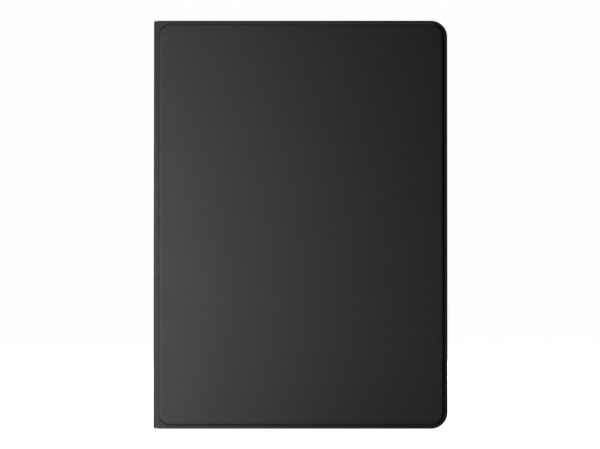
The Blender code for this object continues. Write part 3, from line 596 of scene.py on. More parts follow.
# Brushed microfibre. It lines the cover, the spine, the folds, the tray and the kickstand, with a
# short nap that lies in streaks.
def microfibre_material():
    made, tree, shader = blank_material("microfibre")
    where = node(tree, "ShaderNodeTexCoord").outputs["Object"]
    laid = node(tree, "ShaderNodeMapping", {"Vector": where, "Scale": (1.0, 1.0, 0.25)})
    nap = node(
        tree, "ShaderNodeTexNoise",
        {"Vector": laid.outputs["Vector"], "Scale": 5200.0, "Detail": 4.0, "Roughness": 0.7},
    )
    brushed = node(
        tree, "ShaderNodeTexNoise",
        {"Vector": laid.outputs["Vector"], "Scale": 420.0, "Detail": 3.0, "Distortion": 0.6},
    )
    blend_mask = math_node(
        tree, "ADD", math_node(tree, "MULTIPLY", nap.outputs["Fac"], 0.65),
        math_node(tree, "MULTIPLY", brushed.outputs["Fac"], 0.35),
    )
    color = two_tones(
        tree, spread(tree, blend_mask, 0.0, 1.0, 0.35, 0.65), (0.022, 0.0225, 0.024),
        (0.044, 0.045, 0.048),
    )
    tree.links.new(color, shader.inputs["Base Color"])
    shader.inputs["Roughness"].default_value = 0.95
    shader.inputs["Sheen Weight"].default_value = 0.35
    shader.inputs["Sheen Roughness"].default_value = 0.4
    bump(tree, shader, nap.outputs["Fac"], 0.00012, 0.7)
    return made


MICROFIBRE = microfibre_material()


def dress(node_name, material):
    """Gives a CAD node that stays in view its finish."""
    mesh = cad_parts[node_name].data
    mesh.materials.clear()
    mesh.materials.append(material)


for lining in ("front_lining", "spine_lining", "tray_lining", "stand_lining"):
    dress(lining, MICROFIBRE)

INNER_FOLD = [(-0.0003, -0.0022), (-0.00034, -0.0017), (-0.00026, -0.0014), (-0.00008, -0.0012),
              (0.0001, -0.00113), (0.0004, -0.0011), (0.0012, -0.0011)]
inner_fold = [(FOLD_X + dx, FOLD_Y + dy) for dx, dy in INNER_FOLD]
inner_fold += [(x + 0.00012, y - 0.0002) for x, y in reversed(inner_fold)]
fold_strip("front_fold_lining", inner_fold, -1, MICROFIBRE)
fold_strip("back_fold_lining", inner_fold, 1, MICROFIBRE)


# Pressed grey board. It stiffens the cover, the spine, the back and the kickstand, and is hidden
# under the leather.
def board_material():
    made, tree, shader = blank_material("pressed_board")
    where = node(tree, "ShaderNodeTexCoord").outputs["Object"]
    fibre = node(
        tree, "ShaderNodeTexNoise", {"Vector": where, "Scale": 900.0, "Detail": 6.0, "Distortion": 1.2}
    )
    color = two_tones(tree, fibre.outputs["Fac"], (0.10, 0.098, 0.092), (0.21, 0.205, 0.195))
    tree.links.new(color, shader.inputs["Base Color"])
    shader.inputs["Roughness"].default_value = 0.88
    bump(tree, shader, fibre.outputs["Fac"], 0.00008)
    return made


BOARD = board_material()
for board in ("front_board", "spine_board", "back_board", "stand_board"):
    dress(board, BOARD)


# The tray: moulded black polycarbonate with a fine spark-eroded texture. Its thin lips hold the
# tablet, and its walls are cut out for the buttons, the plugs and the speakers.
def texture_group():
    """The fine even texture that an eroded mould leaves, with slow changes of gloss."""
    group, given, out = shader_group(
        "moulded_texture",
        [("Vector", "NodeSocketVector", None), ("Scale", "NodeSocketFloat", 4200.0)],
        [("Height", "NodeSocketFloat"), ("Gloss", "NodeSocketFloat")],
    )
    fine = node(
        group, "ShaderNodeTexNoise",
        {"Vector": given.outputs["Vector"], "Scale": given.outputs["Scale"], "Detail": 2.0},
    )
    slow = node(
        group, "ShaderNodeTexNoise", {"Vector": given.outputs["Vector"], "Scale": 260.0, "Detail": 3.0}
    )
    group.links.new(fine.outputs["Fac"], out.inputs["Height"])
    group.links.new(slow.outputs["Fac"], out.inputs["Gloss"])
    return group


TEXTURE = texture_group()


def moulded_material(name, dark, light, rough, depth, scale=4200.0, wear=-0.08):
    made, tree, shader = blank_material(name)
    where = node(tree, "ShaderNodeTexCoord").outputs["Object"]
    skin = place_group(tree, TEXTURE, {"Vector": where, "Scale": scale})
    edge = place_group(tree, EDGE)
    tree.links.new(two_tones(tree, skin.outputs["Gloss"], dark, light), shader.inputs["Base Color"])
    gloss = spread(tree, skin.outputs["Gloss"], rough - 0.02, rough + 0.02, 0.3, 0.7)
    worn = math_node(tree, "MULTIPLY", edge.outputs["Mask"], wear)
    tree.links.new(math_node(tree, "ADD", gloss, worn), shader.inputs["Roughness"])
    bump(tree, shader, skin.outputs["Height"], depth, 0.6)
    return made


SHELL = moulded_material("tray_plastic", (0.013, 0.013, 0.0135), (0.019, 0.019, 0.020), 0.58, 0.00002)


def carve(piece, cutters):
    """Cuts solids out of a piece and keeps the plain mesh."""
    for cutter in cutters:
        modifier = piece.modifiers.new(cutter.name, "BOOLEAN")
        modifier.operation, modifier.solver, modifier.object = "DIFFERENCE", "EXACT", cutter
    keep_plain(piece)
    for cutter in cutters:
        bpy.data.objects.remove(cutter)


def slot_cutter(name, low, high, through, radius=0.0014):
    """A cutter with rounded corners that passes through a wall along the axis named."""
    a, b = [i for i in range(3) if i != through]
    flat = ring(low[a], high[a], low[b], high[b], 0.0, (radius,) * 4)
    ends = []
    for depth in (low[through], high[through]):
        row = []
        for point in flat:
            where = [0.0, 0.0, 0.0]
            where[a], where[b], where[through] = point.x, point.z, depth
            row.append(Vector(where))
        ends.append(row)
    return loft(name, ends)


def disc_cutter(name, center, radius, low_y, high_y, sides=64):
    """A round cutter along Y, centred on the given X and Z."""
    rows = [
        [Vector((center[0] + radius * math.cos(2 * math.pi * k / sides), y,
                 center[1] + radius * math.sin(2 * math.pi * k / sides))) for k in range(sides)]
        for y in (low_y, high_y)
    ]
    return loft(name, rows)


tray_low, tray_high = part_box("tray_shell")
TRAY_WALL, TRAY_LIP, TRAY_MOUTH = 0.0013, 0.0021, -0.0010
TRAY_FLOOR = tray_high.y - 0.0011
TRAY_CORNER, TRAY_RIM = 0.0116, 0.0006
tray_box = (tray_low.x, tray_high.x, tray_low.z, tray_high.z)
tray = loft(
    "moulded_tray",
    slab_rings(tray_box, (TRAY_CORNER,) * 4, tray_high.y, tray_low.y, TRAY_RIM, TRAY_RIM),
)


def tray_pocket(name, inset, y_low, y_high):
    """A cutter for the tray's inside, the given distance in from its walls' outer faces."""
    left, right, low, high = tray_box
    corner = (TRAY_CORNER - inset,) * 4
    return loft(name, [
        ring(left + inset, right - inset, low + inset, high - inset, y, corner)
        for y in (y_low, y_high)
    ])


SLOT_LOW, SLOT_HIGH = TRAY_MOUTH + 0.0018, TRAY_FLOOR - 0.0013
SLOT_CORNER, LENS_HOLE = 0.0018, 0.0066
camera_ring_low, camera_ring_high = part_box("camera_ring")
CAMERA_CENTER = (
    (camera_ring_low.x + camera_ring_high.x) / 2, (camera_ring_low.z + camera_ring_high.z) / 2
)
middle_x = (tray_low.x + tray_high.x) / 2
top_wall = (tray_high.z - 0.003, tray_high.z + 0.002)
bottom_wall = (tray_low.z - 0.002, tray_low.z + 0.003)
carve(tray, [tray_pocket("bay", TRAY_WALL, TRAY_MOUTH, TRAY_FLOOR)])
carve(tray, [tray_pocket("mouth", TRAY_LIP, tray_low.y - 0.002, TRAY_MOUTH + 0.001)])
TRAY_SLOTS = (
    ("power", (0.050, SLOT_LOW, top_wall[0]), (0.070, SLOT_HIGH, top_wall[1]), 2),
    ("headphone", (-0.074, SLOT_LOW, top_wall[0]), (-0.064, SLOT_HIGH, top_wall[1]), 2),
    ("charge", (middle_x - 0.008, SLOT_LOW, bottom_wall[0]),
     (middle_x + 0.008, SLOT_HIGH, bottom_wall[1]), 2),
    ("speaker_a", (middle_x - 0.036, SLOT_LOW, bottom_wall[0]),
     (middle_x - 0.014, SLOT_HIGH, bottom_wall[1]), 2),
    ("speaker_b", (middle_x + 0.014, SLOT_LOW, bottom_wall[0]),
     (middle_x + 0.036, SLOT_HIGH, bottom_wall[1]), 2),
    ("volume", (tray_high.x - 0.003, SLOT_LOW, 0.196), (tray_high.x + 0.002, SLOT_HIGH, 0.226), 0),
)
carve(tray, [
    slot_cutter(f"{name}_slot", low, high, way, SLOT_CORNER) for name, low, high, way in TRAY_SLOTS
])
carve(tray, [
    disc_cutter("lens_hole", CAMERA_CENTER, LENS_HOLE, TRAY_FLOOR - 0.001, tray_high.y + 0.001)
])
settle(tray, SHELL, "tablet_half", ["tray_shell"], sharp=30, flats=True)


# The back's leather, in two pieces glued to the tray: the fixed panel with the camera window, and
# the strip beside the spine, which has a notch to get a fingertip under the kickstand.
BACK_SLOPE_WIDTHS = (1.1, 1.1, 1.2, 1.2)


def wrapped_panel(name, box, radii, panel, panel_radii, flatten=(0, 0, 0, 0)):
    """A leather panel on the back of the case, with a raised middle."""
    border_y = cad_high.y - PANEL_RISE
    rings = slab_rings(box, radii, tray_high.y + 0.0001, border_y, 0.0002, COVER_EDGE)
    rings += raised_rings(panel, panel_radii, flatten, border_y, 1, BACK_SLOPE_WIDTHS)
    return loft(name, rings)


back_low, back_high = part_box("back_skin")
back_panel_low, back_panel_high = 0.0023, back_high.z - 0.0018
back = wrapped_panel(
    "back_leather", (back_low.x, back_high.x, back_low.z, back_high.z), COVER_RADII,
    (back_low.x + 0.0008, back_high.x - 0.0030, back_panel_low, back_panel_high),
    (0.0012, 0.0076, 0.0076, 0.0012),
)
carve(back, [disc_cutter("window", CAMERA_CENTER, 0.0078, back_low.y - 0.001, back_high.y + 0.001)])
settle(back, LEATHER, "tablet_half", ["back_skin"], sharp=35, flats=True)

strip_low, strip_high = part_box("hinge_strip")
strip = wrapped_panel(
    "spine_side_leather", (strip_low.x, strip_high.x, strip_low.z, strip_high.z),
    (0.0008, 0.0008, 0.0008, 0.0008),
    (PANEL_BOX[0], strip_high.x - 0.0008, back_panel_low, back_panel_high),
    (0.0068, 0.0012, 0.0012, 0.0068), PANEL_FLAT,
)
NOTCH_RADIUS, NOTCH_REACH = 0.009, 0.005
carve(strip, [disc_cutter(
    "notch", (strip_high.x + NOTCH_RADIUS - NOTCH_REACH, MIDDLE_Z), NOTCH_RADIUS,
    strip_high.y - 0.0015, strip_high.y + 0.002,
)])
settle(strip, LEATHER, "tablet_half", ["hinge_strip"], sharp=35, flats=True)


# The ring in the camera window: turned plastic with a polished inner bevel.
def turned(name, center, profile, sides=72):
    """A ring with the given (radius, y) profile around an axis along Y."""
    mesh = bpy.data.meshes.new(name)
    work = bmesh.new()
    rows = []
    for k in range(sides):
        turn = 2 * math.pi * k / sides
        rows.append([
            work.verts.new((center[0] + r * math.cos(turn), y, center[1] + r * math.sin(turn)))
            for r, y in profile
        ])
    for k, first in enumerate(rows):
        second = rows[(k + 1) % sides]
        for i in range(len(profile)):
            j = (i + 1) % len(profile)
            work.faces.new((first[i], first[j], second[j], second[i]))
    bmesh.ops.recalc_face_normals(work, faces=work.faces)
    work.to_mesh(mesh)
    work.free()
    return new_object(name, mesh)


RING_GLOSS = moulded_material(
    "ring_plastic", (0.012, 0.012, 0.012), (0.016, 0.016, 0.016), 0.22, 0.000004
)
lens_ring = turned("camera_window_ring", CAMERA_CENTER, [
    (0.0063, camera_ring_low.y), (0.0063, camera_ring_high.y - 0.0006),
    (0.00636, camera_ring_high.y - 0.0004), (0.0067, camera_ring_high.y - 0.00008),
    (0.0069, camera_ring_high.y), (0.0074, camera_ring_high.y), (0.0076, camera_ring_high.y - 0.00006),
    (0.0077, camera_ring_high.y - 0.0002), (0.0077, camera_ring_low.y),
])
settle(lens_ring, RING_GLOSS, "tablet_half", ["camera_ring"], sharp=50)


# The kickstand's leather, wrapped over its board. The edge at the hinges is rolled around the pivot
# line, and is cut away where the barrels of the two hinges show.
stand_low, stand_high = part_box("stand_skin")
HINGE_HEIGHTS = (0.044, 0.206)
hinge_low, hinge_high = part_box("hinge_leaf_fixed_top")
leaf_half = (hinge_high.z - hinge_low.z) / 2 + 0.0002
PIVOT_X, PIVOT_Y = 0.002, 0.0093
ROLL = stand_high.y - PIVOT_Y
STAND_RIM = 0.0004


def stand_profile(inset):
    """The panel's outline in plan: rolled at the pivot, with a softened free edge."""
    roll = ROLL - inset
    outline = []
    for k in range(25):
        turn = math.radians(180 * k / 24)
        outline.append((PIVOT_X + roll * math.sin(turn), PIVOT_Y - roll * math.cos(turn)))
    free = 0.0009 - inset * 0.4
    for k in range(9):
        turn = math.radians(90 * k / 8)
        outline.append((
            stand_low.x + inset + free * (1 - math.sin(turn)),
            stand_high.y - inset - free * (1 - math.cos(turn)),
        ))
    outline.append((stand_low.x + inset, stand_low.y + inset))
    return outline


stand_rings = []
for z_end, side in ((stand_low.z, -1), (stand_high.z, 1)):
    rows = []
    for k in range(5):
        turn = math.radians(90 * k / 4)
        inset, back_off = STAND_RIM * (1 - math.cos(turn)), STAND_RIM * (1 - math.sin(turn))
        rows.append([Vector((x, y, z_end - side * back_off)) for x, y in stand_profile(inset)])
    stand_rings.append(rows)
stand = loft("kickstand_leather", stand_rings[0][::-1] + stand_rings[1])
board_low, board_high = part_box("stand_board")
carve(stand, [slot_cutter(
    "board_room", (board_low.x - 0.0001, stand_low.y - 0.001, board_low.z - 0.0001),
    (board_high.x + 0.0001, board_high.y + 0.0001, board_high.z + 0.0001), 1, 0.0002,
)])
carve(stand, [
    slot_cutter(
        f"barrel_room_{n}", (board_high.x - 0.0001, stand_low.y - 0.001, height - leaf_half),
        (PIVOT_X + 0.004, stand_high.y + 0.001, height + leaf_half), 1, 0.0004,
    )
    for n, height in enumerate(HINGE_HEIGHTS)
])
settle(stand, LEATHER, "kickstand", ["stand_skin"], sharp=35, flats=True)


# The kickstand's foot: a strip of black rubber with cross ribs, bonded to the free edge so that it
# doesn't slide on a desk.
def rubber_material():
    made, tree, shader = blank_material("moulded_rubber")
    where = node(tree, "ShaderNodeTexCoord").outputs["Object"]
    fine = node(tree, "ShaderNodeTexNoise", {"Vector": where, "Scale": 2600.0, "Detail": 5.0})
    bloom = node(tree, "ShaderNodeTexNoise", {"Vector": where, "Scale": 70.0, "Detail": 3.0})
    color = two_tones(
        tree, spread(tree, bloom.outputs["Fac"], 0.0, 1.0, 0.4, 0.7), (0.012, 0.012, 0.012),
        (0.024, 0.024, 0.024),
    )
    tree.links.new(color, shader.inputs["Base Color"])
    tree.links.new(spread(tree, fine.outputs["Fac"], 0.72, 0.9), shader.inputs["Roughness"])
    bump(tree, shader, fine.outputs["Fac"], 0.00003)
    return made


RUBBER = rubber_material()


def repeat_tree(name):
    """Geometry nodes that lay copies of a part along a line, and make them real."""
    tree = bpy.data.node_groups.new(name, "GeometryNodeTree")
    face = tree.interface
    face.new_socket("Geometry", in_out="OUTPUT", socket_type="NodeSocketGeometry")
    for label, kind in (
        ("Part", "NodeSocketObject"), ("Count", "NodeSocketInt"), ("Start", "NodeSocketVector"),
        ("Step", "NodeSocketVector"), ("Material", "NodeSocketMaterial"),
    ):
        face.new_socket(label, in_out="INPUT", socket_type=kind)
    given, out = tree.nodes.new("NodeGroupInput"), tree.nodes.new("NodeGroupOutput")
    line = tree.nodes.new("GeometryNodeMeshLine")
    part = tree.nodes.new("GeometryNodeObjectInfo")
    copies = tree.nodes.new("GeometryNodeInstanceOnPoints")
    real = tree.nodes.new("GeometryNodeRealizeInstances")
    finish = tree.nodes.new("GeometryNodeSetMaterial")
    link = tree.links.new
    link(given.outputs["Count"], line.inputs["Count"])
    link(given.outputs["Start"], line.inputs["Start Location"])
    link(given.outputs["Step"], line.inputs["Offset"])
    link(given.outputs["Part"], part.inputs["Object"])
    link(line.outputs["Mesh"], copies.inputs["Points"])
    link(part.outputs["Geometry"], copies.inputs["Instance"])
    link(copies.outputs["Instances"], real.inputs["Geometry"])
    link(real.outputs["Geometry"], finish.inputs["Geometry"])
    link(given.outputs["Material"], finish.inputs["Material"])
    link(finish.outputs["Geometry"], out.inputs["Geometry"])
    return tree


REPEAT = repeat_tree("repeat_along_line")


def repeated(name, part, count, start, step, material):
    """Plain mesh object of count copies of a part, which is then removed."""
    holder = new_object(name, bpy.data.meshes.new(name))
    modifier = holder.modifiers.new("repeat", "NODES")
    modifier.node_group = REPEAT
    sockets = {item.name: item.identifier for item in REPEAT.interface.items_tree}
    values = {"Part": part, "Count": count, "Start": start, "Step": step, "Material": material}
    for label, value in values.items():
        modifier[sockets[label]] = value
    keep_plain(holder)
    bpy.data.objects.remove(part)
    return holder


def pill(name, low, high, radius, rim, corner_steps=20):
    """A small bar with rounded ends and rims, lying in XZ with its thickness along Y."""
    box = (low[0], high[0], low[2], high[2])
    return loft(name, slab_rings(box, (radius,) * 4, high[1], low[1], rim, rim, 3, corner_steps))


foot_low, foot_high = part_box("stand_foot")
RIB_PITCH = 0.0025
foot_core = pill(
    "kickstand_foot", (foot_low.x + 0.0003, foot_low.y, foot_low.z), foot_high, 0.0003, 0.0003
)
rib = pill(
    "foot_rib", (foot_low.x, foot_low.y + 0.0001, -0.0006),
    (foot_low.x + 0.0007, foot_high.y - 0.0001, 0.0006), 0.0003, 0.0002,
)
rib_count = int((foot_high.z - foot_low.z) / RIB_PITCH) - 1
first_rib = (foot_low.z + foot_high.z) / 2 - RIB_PITCH * (rib_count - 1) / 2
foot_ribs = repeated(
    "kickstand_foot_ribs", rib, rib_count, (0, 0, first_rib), (0, 0, RIB_PITCH), RUBBER
)
settle(foot_core, RUBBER, "kickstand", ["stand_foot"])
settle(foot_ribs, RUBBER, "kickstand")


# Steel. The leaves, barrels and pins of the kickstand's hinges are brushed along the barrel.
def steel_material(name, tone, rough, stretch=(1.0, 1.0, 0.04)):
    made, tree, shader = blank_material(name)
    where = node(tree, "ShaderNodeTexCoord").outputs["Object"]
    laid = node(tree, "ShaderNodeMapping", {"Vector": where, "Scale": stretch})
    lines = node(
        tree, "ShaderNodeTexNoise",
        {"Vector": laid.outputs["Vector"], "Scale": 6000.0, "Detail": 3.0, "Roughness": 0.6},
    )
    darker = tuple(channel * 0.75 for channel in tone)
    color = two_tones(tree, lines.outputs["Fac"], darker, tone)
    tree.links.new(color, shader.inputs["Base Color"])
    shader.inputs["Metallic"].default_value = 1.0
    tree.links.new(
        spread(tree, lines.outputs["Fac"], rough - 0.08, rough + 0.1, 0.3, 0.7),
        shader.inputs["Roughness"],
    )
    bump(tree, shader, lines.outputs["Fac"], 0.000006)
    return made


STEEL = steel_material("brushed_steel", (0.52, 0.52, 0.53), 0.32)
for end in ("bottom", "top"):
    for steel in (f"hinge_leaf_fixed_{end}", f"hinge_leaf_moving_{end}", f"hinge_pin_{end}"):
        dress(steel, STEEL)


# The keyboard's base: a thin moulded pan, open under the deck, with a mouth for the charging socket
# and a slot for the switch in its end wall.
UNIT_PLASTIC = moulded_material(
    "unit_plastic", (0.015, 0.0155, 0.017), (0.022, 0.0225, 0.024), 0.46, 0.00002
)
base_low, base_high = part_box("keyboard_base")
deck_low, deck_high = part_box("keyboard_deck")
UNIT_RADII = (0.0030, 0.0070, 0.0070, 0.0030)
unit_box = (base_low.x, base_high.x, base_low.z, base_high.z)
base_pan = loft(
    "keyboard_pan", slab_rings(unit_box, UNIT_RADII, base_high.y, base_low.y, 0.00015, 0.0007)
)
BASE_WALL, BASE_FLOOR = 0.0012, 0.0008
left, right, low, high = (
    unit_box[0] + BASE_WALL, unit_box[1] - BASE_WALL, unit_box[2] + BASE_WALL, unit_box[3] - BASE_WALL
)
pan_room = loft("pan_room", [
    ring(left, right, low, high, y, inset_radii(UNIT_RADII, BASE_WALL))
    for y in (base_low.y + BASE_FLOOR, base_high.y + 0.001)
])
carve(base_pan, [pan_room])
socket_low, socket_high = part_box("usb_socket")
knob_low, knob_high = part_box("power_knob")
end_wall = (base_high.z - 0.0024, base_high.z + 0.002)
carve(base_pan, [
    slot_cutter(
        "socket_mouth", (socket_low.x - 0.0002, socket_low.y - 0.0001, end_wall[0]),
        (socket_high.x + 0.0002, base_high.y + 0.001, end_wall[1]), 2, 0.0003,
    ),
    slot_cutter(
        "switch_mouth", (0.0400, base_low.y + BASE_FLOOR + 0.0005, end_wall[0]),
        (0.0474, base_low.y + BASE_FLOOR + 0.0021, end_wall[1]), 2, 0.0005,
    ),
])
settle(base_pan, UNIT_PLASTIC, "front_cover", ["keyboard_base"], sharp=35, flats=True)


# The deck: one plastic plate with a window for each key and for the touchpad, its edges softened.
KEY_PITCH, KEY_GAP = 0.0165, 0.0023
ROW_PITCH, FUNCTION_PITCH = 0.0160, 0.0105
KEYS_START_X = cad_low.x + 0.020
KEYS_START_Z = MIDDLE_Z + 7 * KEY_PITCH
WINDOW_PLAY = 0.0003
ARROW_GAP = 0.0012

ROWS = (
    ("function_keys", [(1.0, None)] * 14),
    ("number_keys", [(0.75, "key_grave"), *[(1.0, None)] * 12, (1.25, "key_backspace")]),
    ("upper_letter_keys", [(1.25, "key_tab"), *[(1.0, None)] * 12, (0.75, "key_backslash")]),
    ("middle_letter_keys", [(1.5, "key_caps_lock"), *[(1.0, None)] * 11, (1.5, "key_enter")]),
    ("lower_letter_keys", [(2.0, "key_shift_left"), *[(1.0, None)] * 10, (2.0, "key_shift_right")]),
    ("bottom_keys", [
        (1.0, "key_globe"), (1.0, "key_control"), (1.0, "key_option"), (1.25, "key_command_left"),
        (5.5, "key_space"), (1.25, "key_command_right"), (1.0, "key_arrow_left"),
        (1.0, "key_arrow_up"), (1.0, "key_arrow_right"),
    ]),
)


def key_places():
    """Row, key node or None, and the left, right, low and high limits of each key's foot."""
    places = []
    for index, (row, keys) in enumerate(ROWS):
        x0 = KEYS_START_X + (0 if index == 0 else FUNCTION_PITCH + (index - 1) * ROW_PITCH)
        x1 = x0 + (FUNCTION_PITCH if index == 0 else ROW_PITCH) - KEY_GAP
        at = KEYS_START_Z
        for width, name in keys:
            z0, z1 = at - width * KEY_PITCH + KEY_GAP / 2, at - KEY_GAP / 2
            at -= width * KEY_PITCH
            if name == "key_arrow_up":
                half = (x1 - x0 - ARROW_GAP) / 2
                places.append((row, "key_arrow_up", (x0, x0 + half, z0, z1)))
                places.append((row, "key_arrow_down", (x1 - half, x1, z0, z1)))
            else:
                places.append((row, name, (x0, x1, z0, z1)))
    return places


KEYS = key_places()


def plate(name, loops, y_low, y_high, softening):
    """A flat plate in XZ from its outline and windows, with rounded edges."""
    curve = bpy.data.curves.new(name, "CURVE")
    curve.dimensions, curve.fill_mode = "2D", "BOTH"
    curve.extrude = (y_high - y_low) / 2 - softening
    curve.bevel_depth, curve.bevel_resolution, curve.offset = softening, 2, -softening
    for loop in loops:
        spline = curve.splines.new("POLY")
        spline.points.add(len(loop) - 1)
        for point, place in zip(spline.points, loop):
            point.co = (place.x, place.z, 0, 1)
        spline.use_cyclic_u = True
    drawn = new_object(f"{name}_outline", curve)
    mesh = plain_mesh(drawn)
    bpy.data.objects.remove(drawn)
    mesh.transform(
        Matrix.Translation((0, (y_low + y_high) / 2, 0)) @ Matrix.Rotation(math.pi / 2, 4, "X")
    )
    work = bmesh.new()
    work.from_mesh(mesh)
    bmesh.ops.remove_doubles(work, verts=work.verts, dist=1e-6)
    bmesh.ops.recalc_face_normals(work, faces=work.faces)
    work.to_mesh(mesh)
    work.free()
    return new_object(name, mesh)


pad_low, pad_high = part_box("touchpad")
lens_low, lens_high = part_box("status_lens")


def window(box, play, radius, corner_steps):
    """The outline of a window in the deck, larger than the box of its piece by the play."""
    x0, x1, z0, z1 = box
    return ring(
        x0 - play, x1 + play, z0 - play, z1 + play, 0, (radius,) * 4, corner_steps=corner_steps
    )


pad_box = (pad_low.x, pad_high.x, pad_low.z, pad_high.z)
lens_box = (lens_low.x, lens_high.x, lens_low.z, lens_high.z)
deck_loops = [ring(*unit_box, 0, UNIT_RADII)]
deck_loops += [window(box, WINDOW_PLAY, 0.0011, 4) for _, _, box in KEYS]
deck_loops.append(window(pad_box, WINDOW_PLAY, 0.0023, 12))
deck_loops.append(window(lens_box, 0.0001, 0.0008, 12))
deck = plate("keyboard_deck_plate", deck_loops, deck_low.y, deck_high.y, 0.00012)
settle(deck, UNIT_PLASTIC, "front_cover", ["keyboard_deck"], sharp=40, flats=True)


# The keycaps: satin black plastic, with sloping sides and soft upper edges. Those of one row that
# share a carrier are repeated along it.
KEY_PLASTIC = moulded_material(
    "key_plastic", (0.0105, 0.0105, 0.011), (0.0135, 0.0135, 0.014), 0.40, 0.000010, 5200.0
)
key_low, key_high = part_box("key_space")
KEY_CORNER = 0.0012


def keycap(name, box):
    """A keycap on the given foot, with its top towards the tray."""
    left, right, low, high = box
    middle = min(0.0022, (right - left) / 4)
    steps = (
        (0.0004, key_low.y), (0.0, key_low.y), (0.0, key_low.y + 0.0004), (0.00018, key_high.y - 0.0005),
        (0.00024, key_high.y - 0.00022), (0.00034, key_high.y - 0.00006), (0.00050, key_high.y),
        (0.0010, key_high.y), (middle, key_high.y - 0.00002),
    )
    return loft(name, [
        ring(
            left + d, right - d, low + d, high - d, y, (KEY_CORNER + 0.2 * d,) * 4, corner_steps=5
        )
        for d, y in steps
    ])


for row, _ in ROWS[:5]:
    row_keys = [box for place_row, name, box in KEYS if place_row == row and name is None]
    x0, x1, z0, z1 = row_keys[0]
    half_width = (z1 - z0) / 2
    model = keycap("cap_model", (x0, x1, -half_width, half_width))
    caps = repeated(
        f"{row}_caps", model, len(row_keys), (0, 0, (z0 + z1) / 2), (0, 0, -KEY_PITCH), KEY_PLASTIC
    )
    settle(caps, KEY_PLASTIC, row, [row])
for _, name, box in KEYS:
    if name:
        settle(keycap(f"{name}_cap", box), KEY_PLASTIC, name, [name])


# The legends: pale grey ink, pad-printed on the keycaps. They are read from the touchpad's side.
def ink_material():
    made, tree, shader = blank_material("legend_ink")
    where = node(tree, "ShaderNodeTexCoord").outputs["Object"]
    worn = node(tree, "ShaderNodeTexNoise", {"Vector": where, "Scale": 900.0, "Detail": 4.0})
    color = two_tones(
        tree, spread(tree, worn.outputs["Fac"], 0.0, 1.0, 0.35, 0.6), (0.42, 0.43, 0.44),
        (0.62, 0.63, 0.64),
    )
    tree.links.new(color, shader.inputs["Base Color"])
    shader.inputs["Roughness"].default_value = 0.55
    return made


INK = ink_material()
LEGEND_SIZE, SMALL_LEGEND = 0.0050, 0.0027
LEGENDS = {
    "function_keys": ["esc", *[f"F{n}" for n in range(1, 13)], "del"],
    "number_keys": list("1234567890-="),
    "upper_letter_keys": list("QWERTYUIOP[]"),
    "middle_letter_keys": list("ASDFGHJKL;'"),
    "lower_letter_keys": list("ZXCVBNM,./"),
    "key_grave": ["`"], "key_backspace": ["back"], "key_tab": ["tab"], "key_backslash": ["\\"],
    "key_caps_lock": ["caps"], "key_enter": ["enter"], "key_shift_left": ["shift"],
    "key_shift_right": ["shift"], "key_globe": ["fn"], "key_control": ["ctrl"],
    "key_option": ["opt"], "key_command_left": ["cmd"], "key_command_right": ["cmd"],
    "key_arrow_left": ["<"], "key_arrow_right": [">"], "key_arrow_up": ["^"],
    "key_arrow_down": ["v"],
}

# Turns lettering to face the tray, with each row of keys read along -Z and its top towards +X.
LEGEND_TURN = Matrix(((0, -1, 0, 0), (0, 0, 1, 0), (-1, 0, 0, 0), (0, 0, 0, 1)))
INK_HEIGHT = 0.00002


def legend_mesh(words, box):
    """One legend's mesh, in the middle of a key."""
    letters = bpy.data.curves.new("legend", "FONT")
    letters.body = words
    letters.size = LEGEND_SIZE if len(words) == 1 else SMALL_LEGEND
    letters.align_x, letters.align_y = "CENTER", "CENTER"
    letters.resolution_u = 3
    drawn = new_object("legend", letters)
    mesh = plain_mesh(drawn)
    bpy.data.objects.remove(drawn)
    x0, x1, z0, z1 = box
    place = Matrix.Translation(((x0 + x1) / 2, key_high.y + INK_HEIGHT, (z0 + z1) / 2))
    mesh.transform(place @ LEGEND_TURN)
    return mesh


for owner, words in LEGENDS.items():
    boxes = [box for row, name, box in KEYS if (name or row) == owner]
    work = bmesh.new()
    for word, box in zip(words, boxes):
        work.from_mesh(legend_mesh(word, box))
    joined = bpy.data.meshes.new(f"{owner}_legend")
    work.to_mesh(joined)
    work.free()
    settle(new_object(f"{owner}_legend", joined), INK, owner)


# The touchpad: a smooth plate set just proud of the deck, with a fine bright chamfer.
PAD_PLASTIC = moulded_material(
    "touchpad_plastic", (0.018, 0.0185, 0.020), (0.023, 0.0235, 0.025), 0.44, 0.000006, 6000.0
)
pad = loft("touchpad_plate", slab_rings(
    pad_box, (0.0020,) * 4, pad_low.y, pad_high.y, 0.0001, 0.00015, corner_steps=12
))
settle(pad, PAD_PLASTIC, "touchpad", ["touchpad"])


# The power switch: a small ribbed knob that slides along the end wall.
knob = pill(
    "switch_knob", (knob_low.x + 0.0010, knob_low.y + 0.0005, knob_low.z + 0.0014),
    (knob_high.x - 0.0010, knob_high.y - 0.0005, knob_high.z - 0.0002), 0.0002, 0.0002,
    corner_steps=12,
)
flange = pill(
    "switch_flange", knob_low, (knob_high.x, knob_high.y, knob_low.z + 0.0012), 0.0003, 0.0003,
    corner_steps=12,
)
knob_rib = pill(
    "knob_rib", (-0.00016, knob_low.y + 0.0006, knob_high.z - 0.0004),
    (0.00016, knob_high.y - 0.0006, knob_high.z), 0.0001, 0.0001,
    corner_steps=12,
)
knob_middle = (knob_low.x + knob_high.x) / 2
knob_ribs = repeated(
    "switch_knob_ribs", knob_rib, 5, (knob_middle - 0.0012, 0, 0), (0.0006, 0, 0), SHELL
)
settle(knob, SHELL, "power_knob", ["power_knob"])
settle(flange, SHELL, "power_knob")
settle(knob_ribs, SHELL, "power_knob")


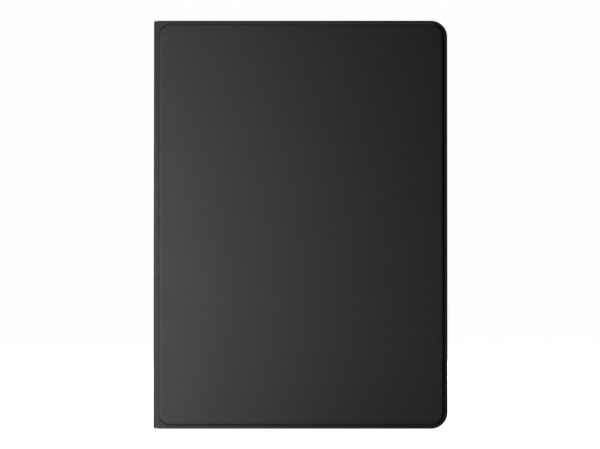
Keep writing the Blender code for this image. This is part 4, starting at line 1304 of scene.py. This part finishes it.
# The bumpers: soft rubber bars on the deck that meet the tablet's glass when the case closes.
for end in ("bottom", "top"):
    bumper_low, bumper_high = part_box(f"screen_bumper_{end}")
    bumper = pill(f"bumper_{end}", bumper_low, bumper_high, 0.0011, 0.0004, corner_steps=12)
    settle(bumper, RUBBER, "front_cover", [f"screen_bumper_{end}"])


# What the keyboard holds: switch layers, battery pouch, circuit board, socket, magnets and the
# light guide of the status lamp.
dress("support_plate", steel_material("zinc_plate", (0.48, 0.49, 0.50), 0.38, (1.0, 1.0, 0.2)))
dress("usb_socket", STEEL)


def film_material(name, dark, light, rough, scale):
    """A thin film or rubber sheet, a little uneven in tone."""
    made, tree, shader = blank_material(name)
    where = node(tree, "ShaderNodeTexCoord").outputs["Object"]
    cloud = node(tree, "ShaderNodeTexNoise", {"Vector": where, "Scale": scale, "Detail": 4.0})
    tree.links.new(two_tones(tree, cloud.outputs["Fac"], dark, light), shader.inputs["Base Color"])
    tree.links.new(
        spread(tree, cloud.outputs["Fac"], rough - 0.06, rough + 0.06), shader.inputs["Roughness"]
    )
    bump(tree, shader, cloud.outputs["Fac"], 0.00002)
    return made


FILMS = (
    ("switch_membrane", "printed_film", (0.40, 0.42, 0.41), (0.52, 0.54, 0.52), 0.3, 200.0),
    ("dome_sheet", "dome_silicone", (0.045, 0.045, 0.045), (0.07, 0.07, 0.07), 0.6, 320.0),
    ("status_lens", "light_guide", (0.50, 0.52, 0.52), (0.62, 0.64, 0.64), 0.22, 900.0),
    ("battery_cell", "foil_pouch", (0.22, 0.23, 0.25), (0.34, 0.35, 0.37), 0.3, 260.0),
)
for piece, *film in FILMS:
    dress(piece, film_material(*film))


def circuit_material():
    made, tree, shader = blank_material("solder_mask")
    where = node(tree, "ShaderNodeTexCoord").outputs["Object"]
    flat = node(tree, "ShaderNodeMapping", {"Vector": where, "Rotation": (math.pi / 2, 0, 0)})
    tracks = node(
        tree, "ShaderNodeTexBrick",
        {"Vector": flat.outputs["Vector"], "Scale": 1.0, "Mortar Size": 0.0002,
         "Brick Width": 0.0060, "Row Height": 0.0022},
    )
    color = two_tones(tree, tracks.outputs["Fac"], (0.010, 0.075, 0.030), (0.030, 0.150, 0.060))
    tree.links.new(color, shader.inputs["Base Color"])
    shader.inputs["Roughness"].default_value = 0.38
    bump(tree, shader, tracks.outputs["Fac"], 0.00003)
    return made


dress("circuit_board", circuit_material())
MAGNET = steel_material("nickel_plate", (0.50, 0.49, 0.46), 0.26, (1.0, 1.0, 1.0))
for end in ("bottom", "top"):
    dress(f"closure_magnet_{end}", MAGNET)
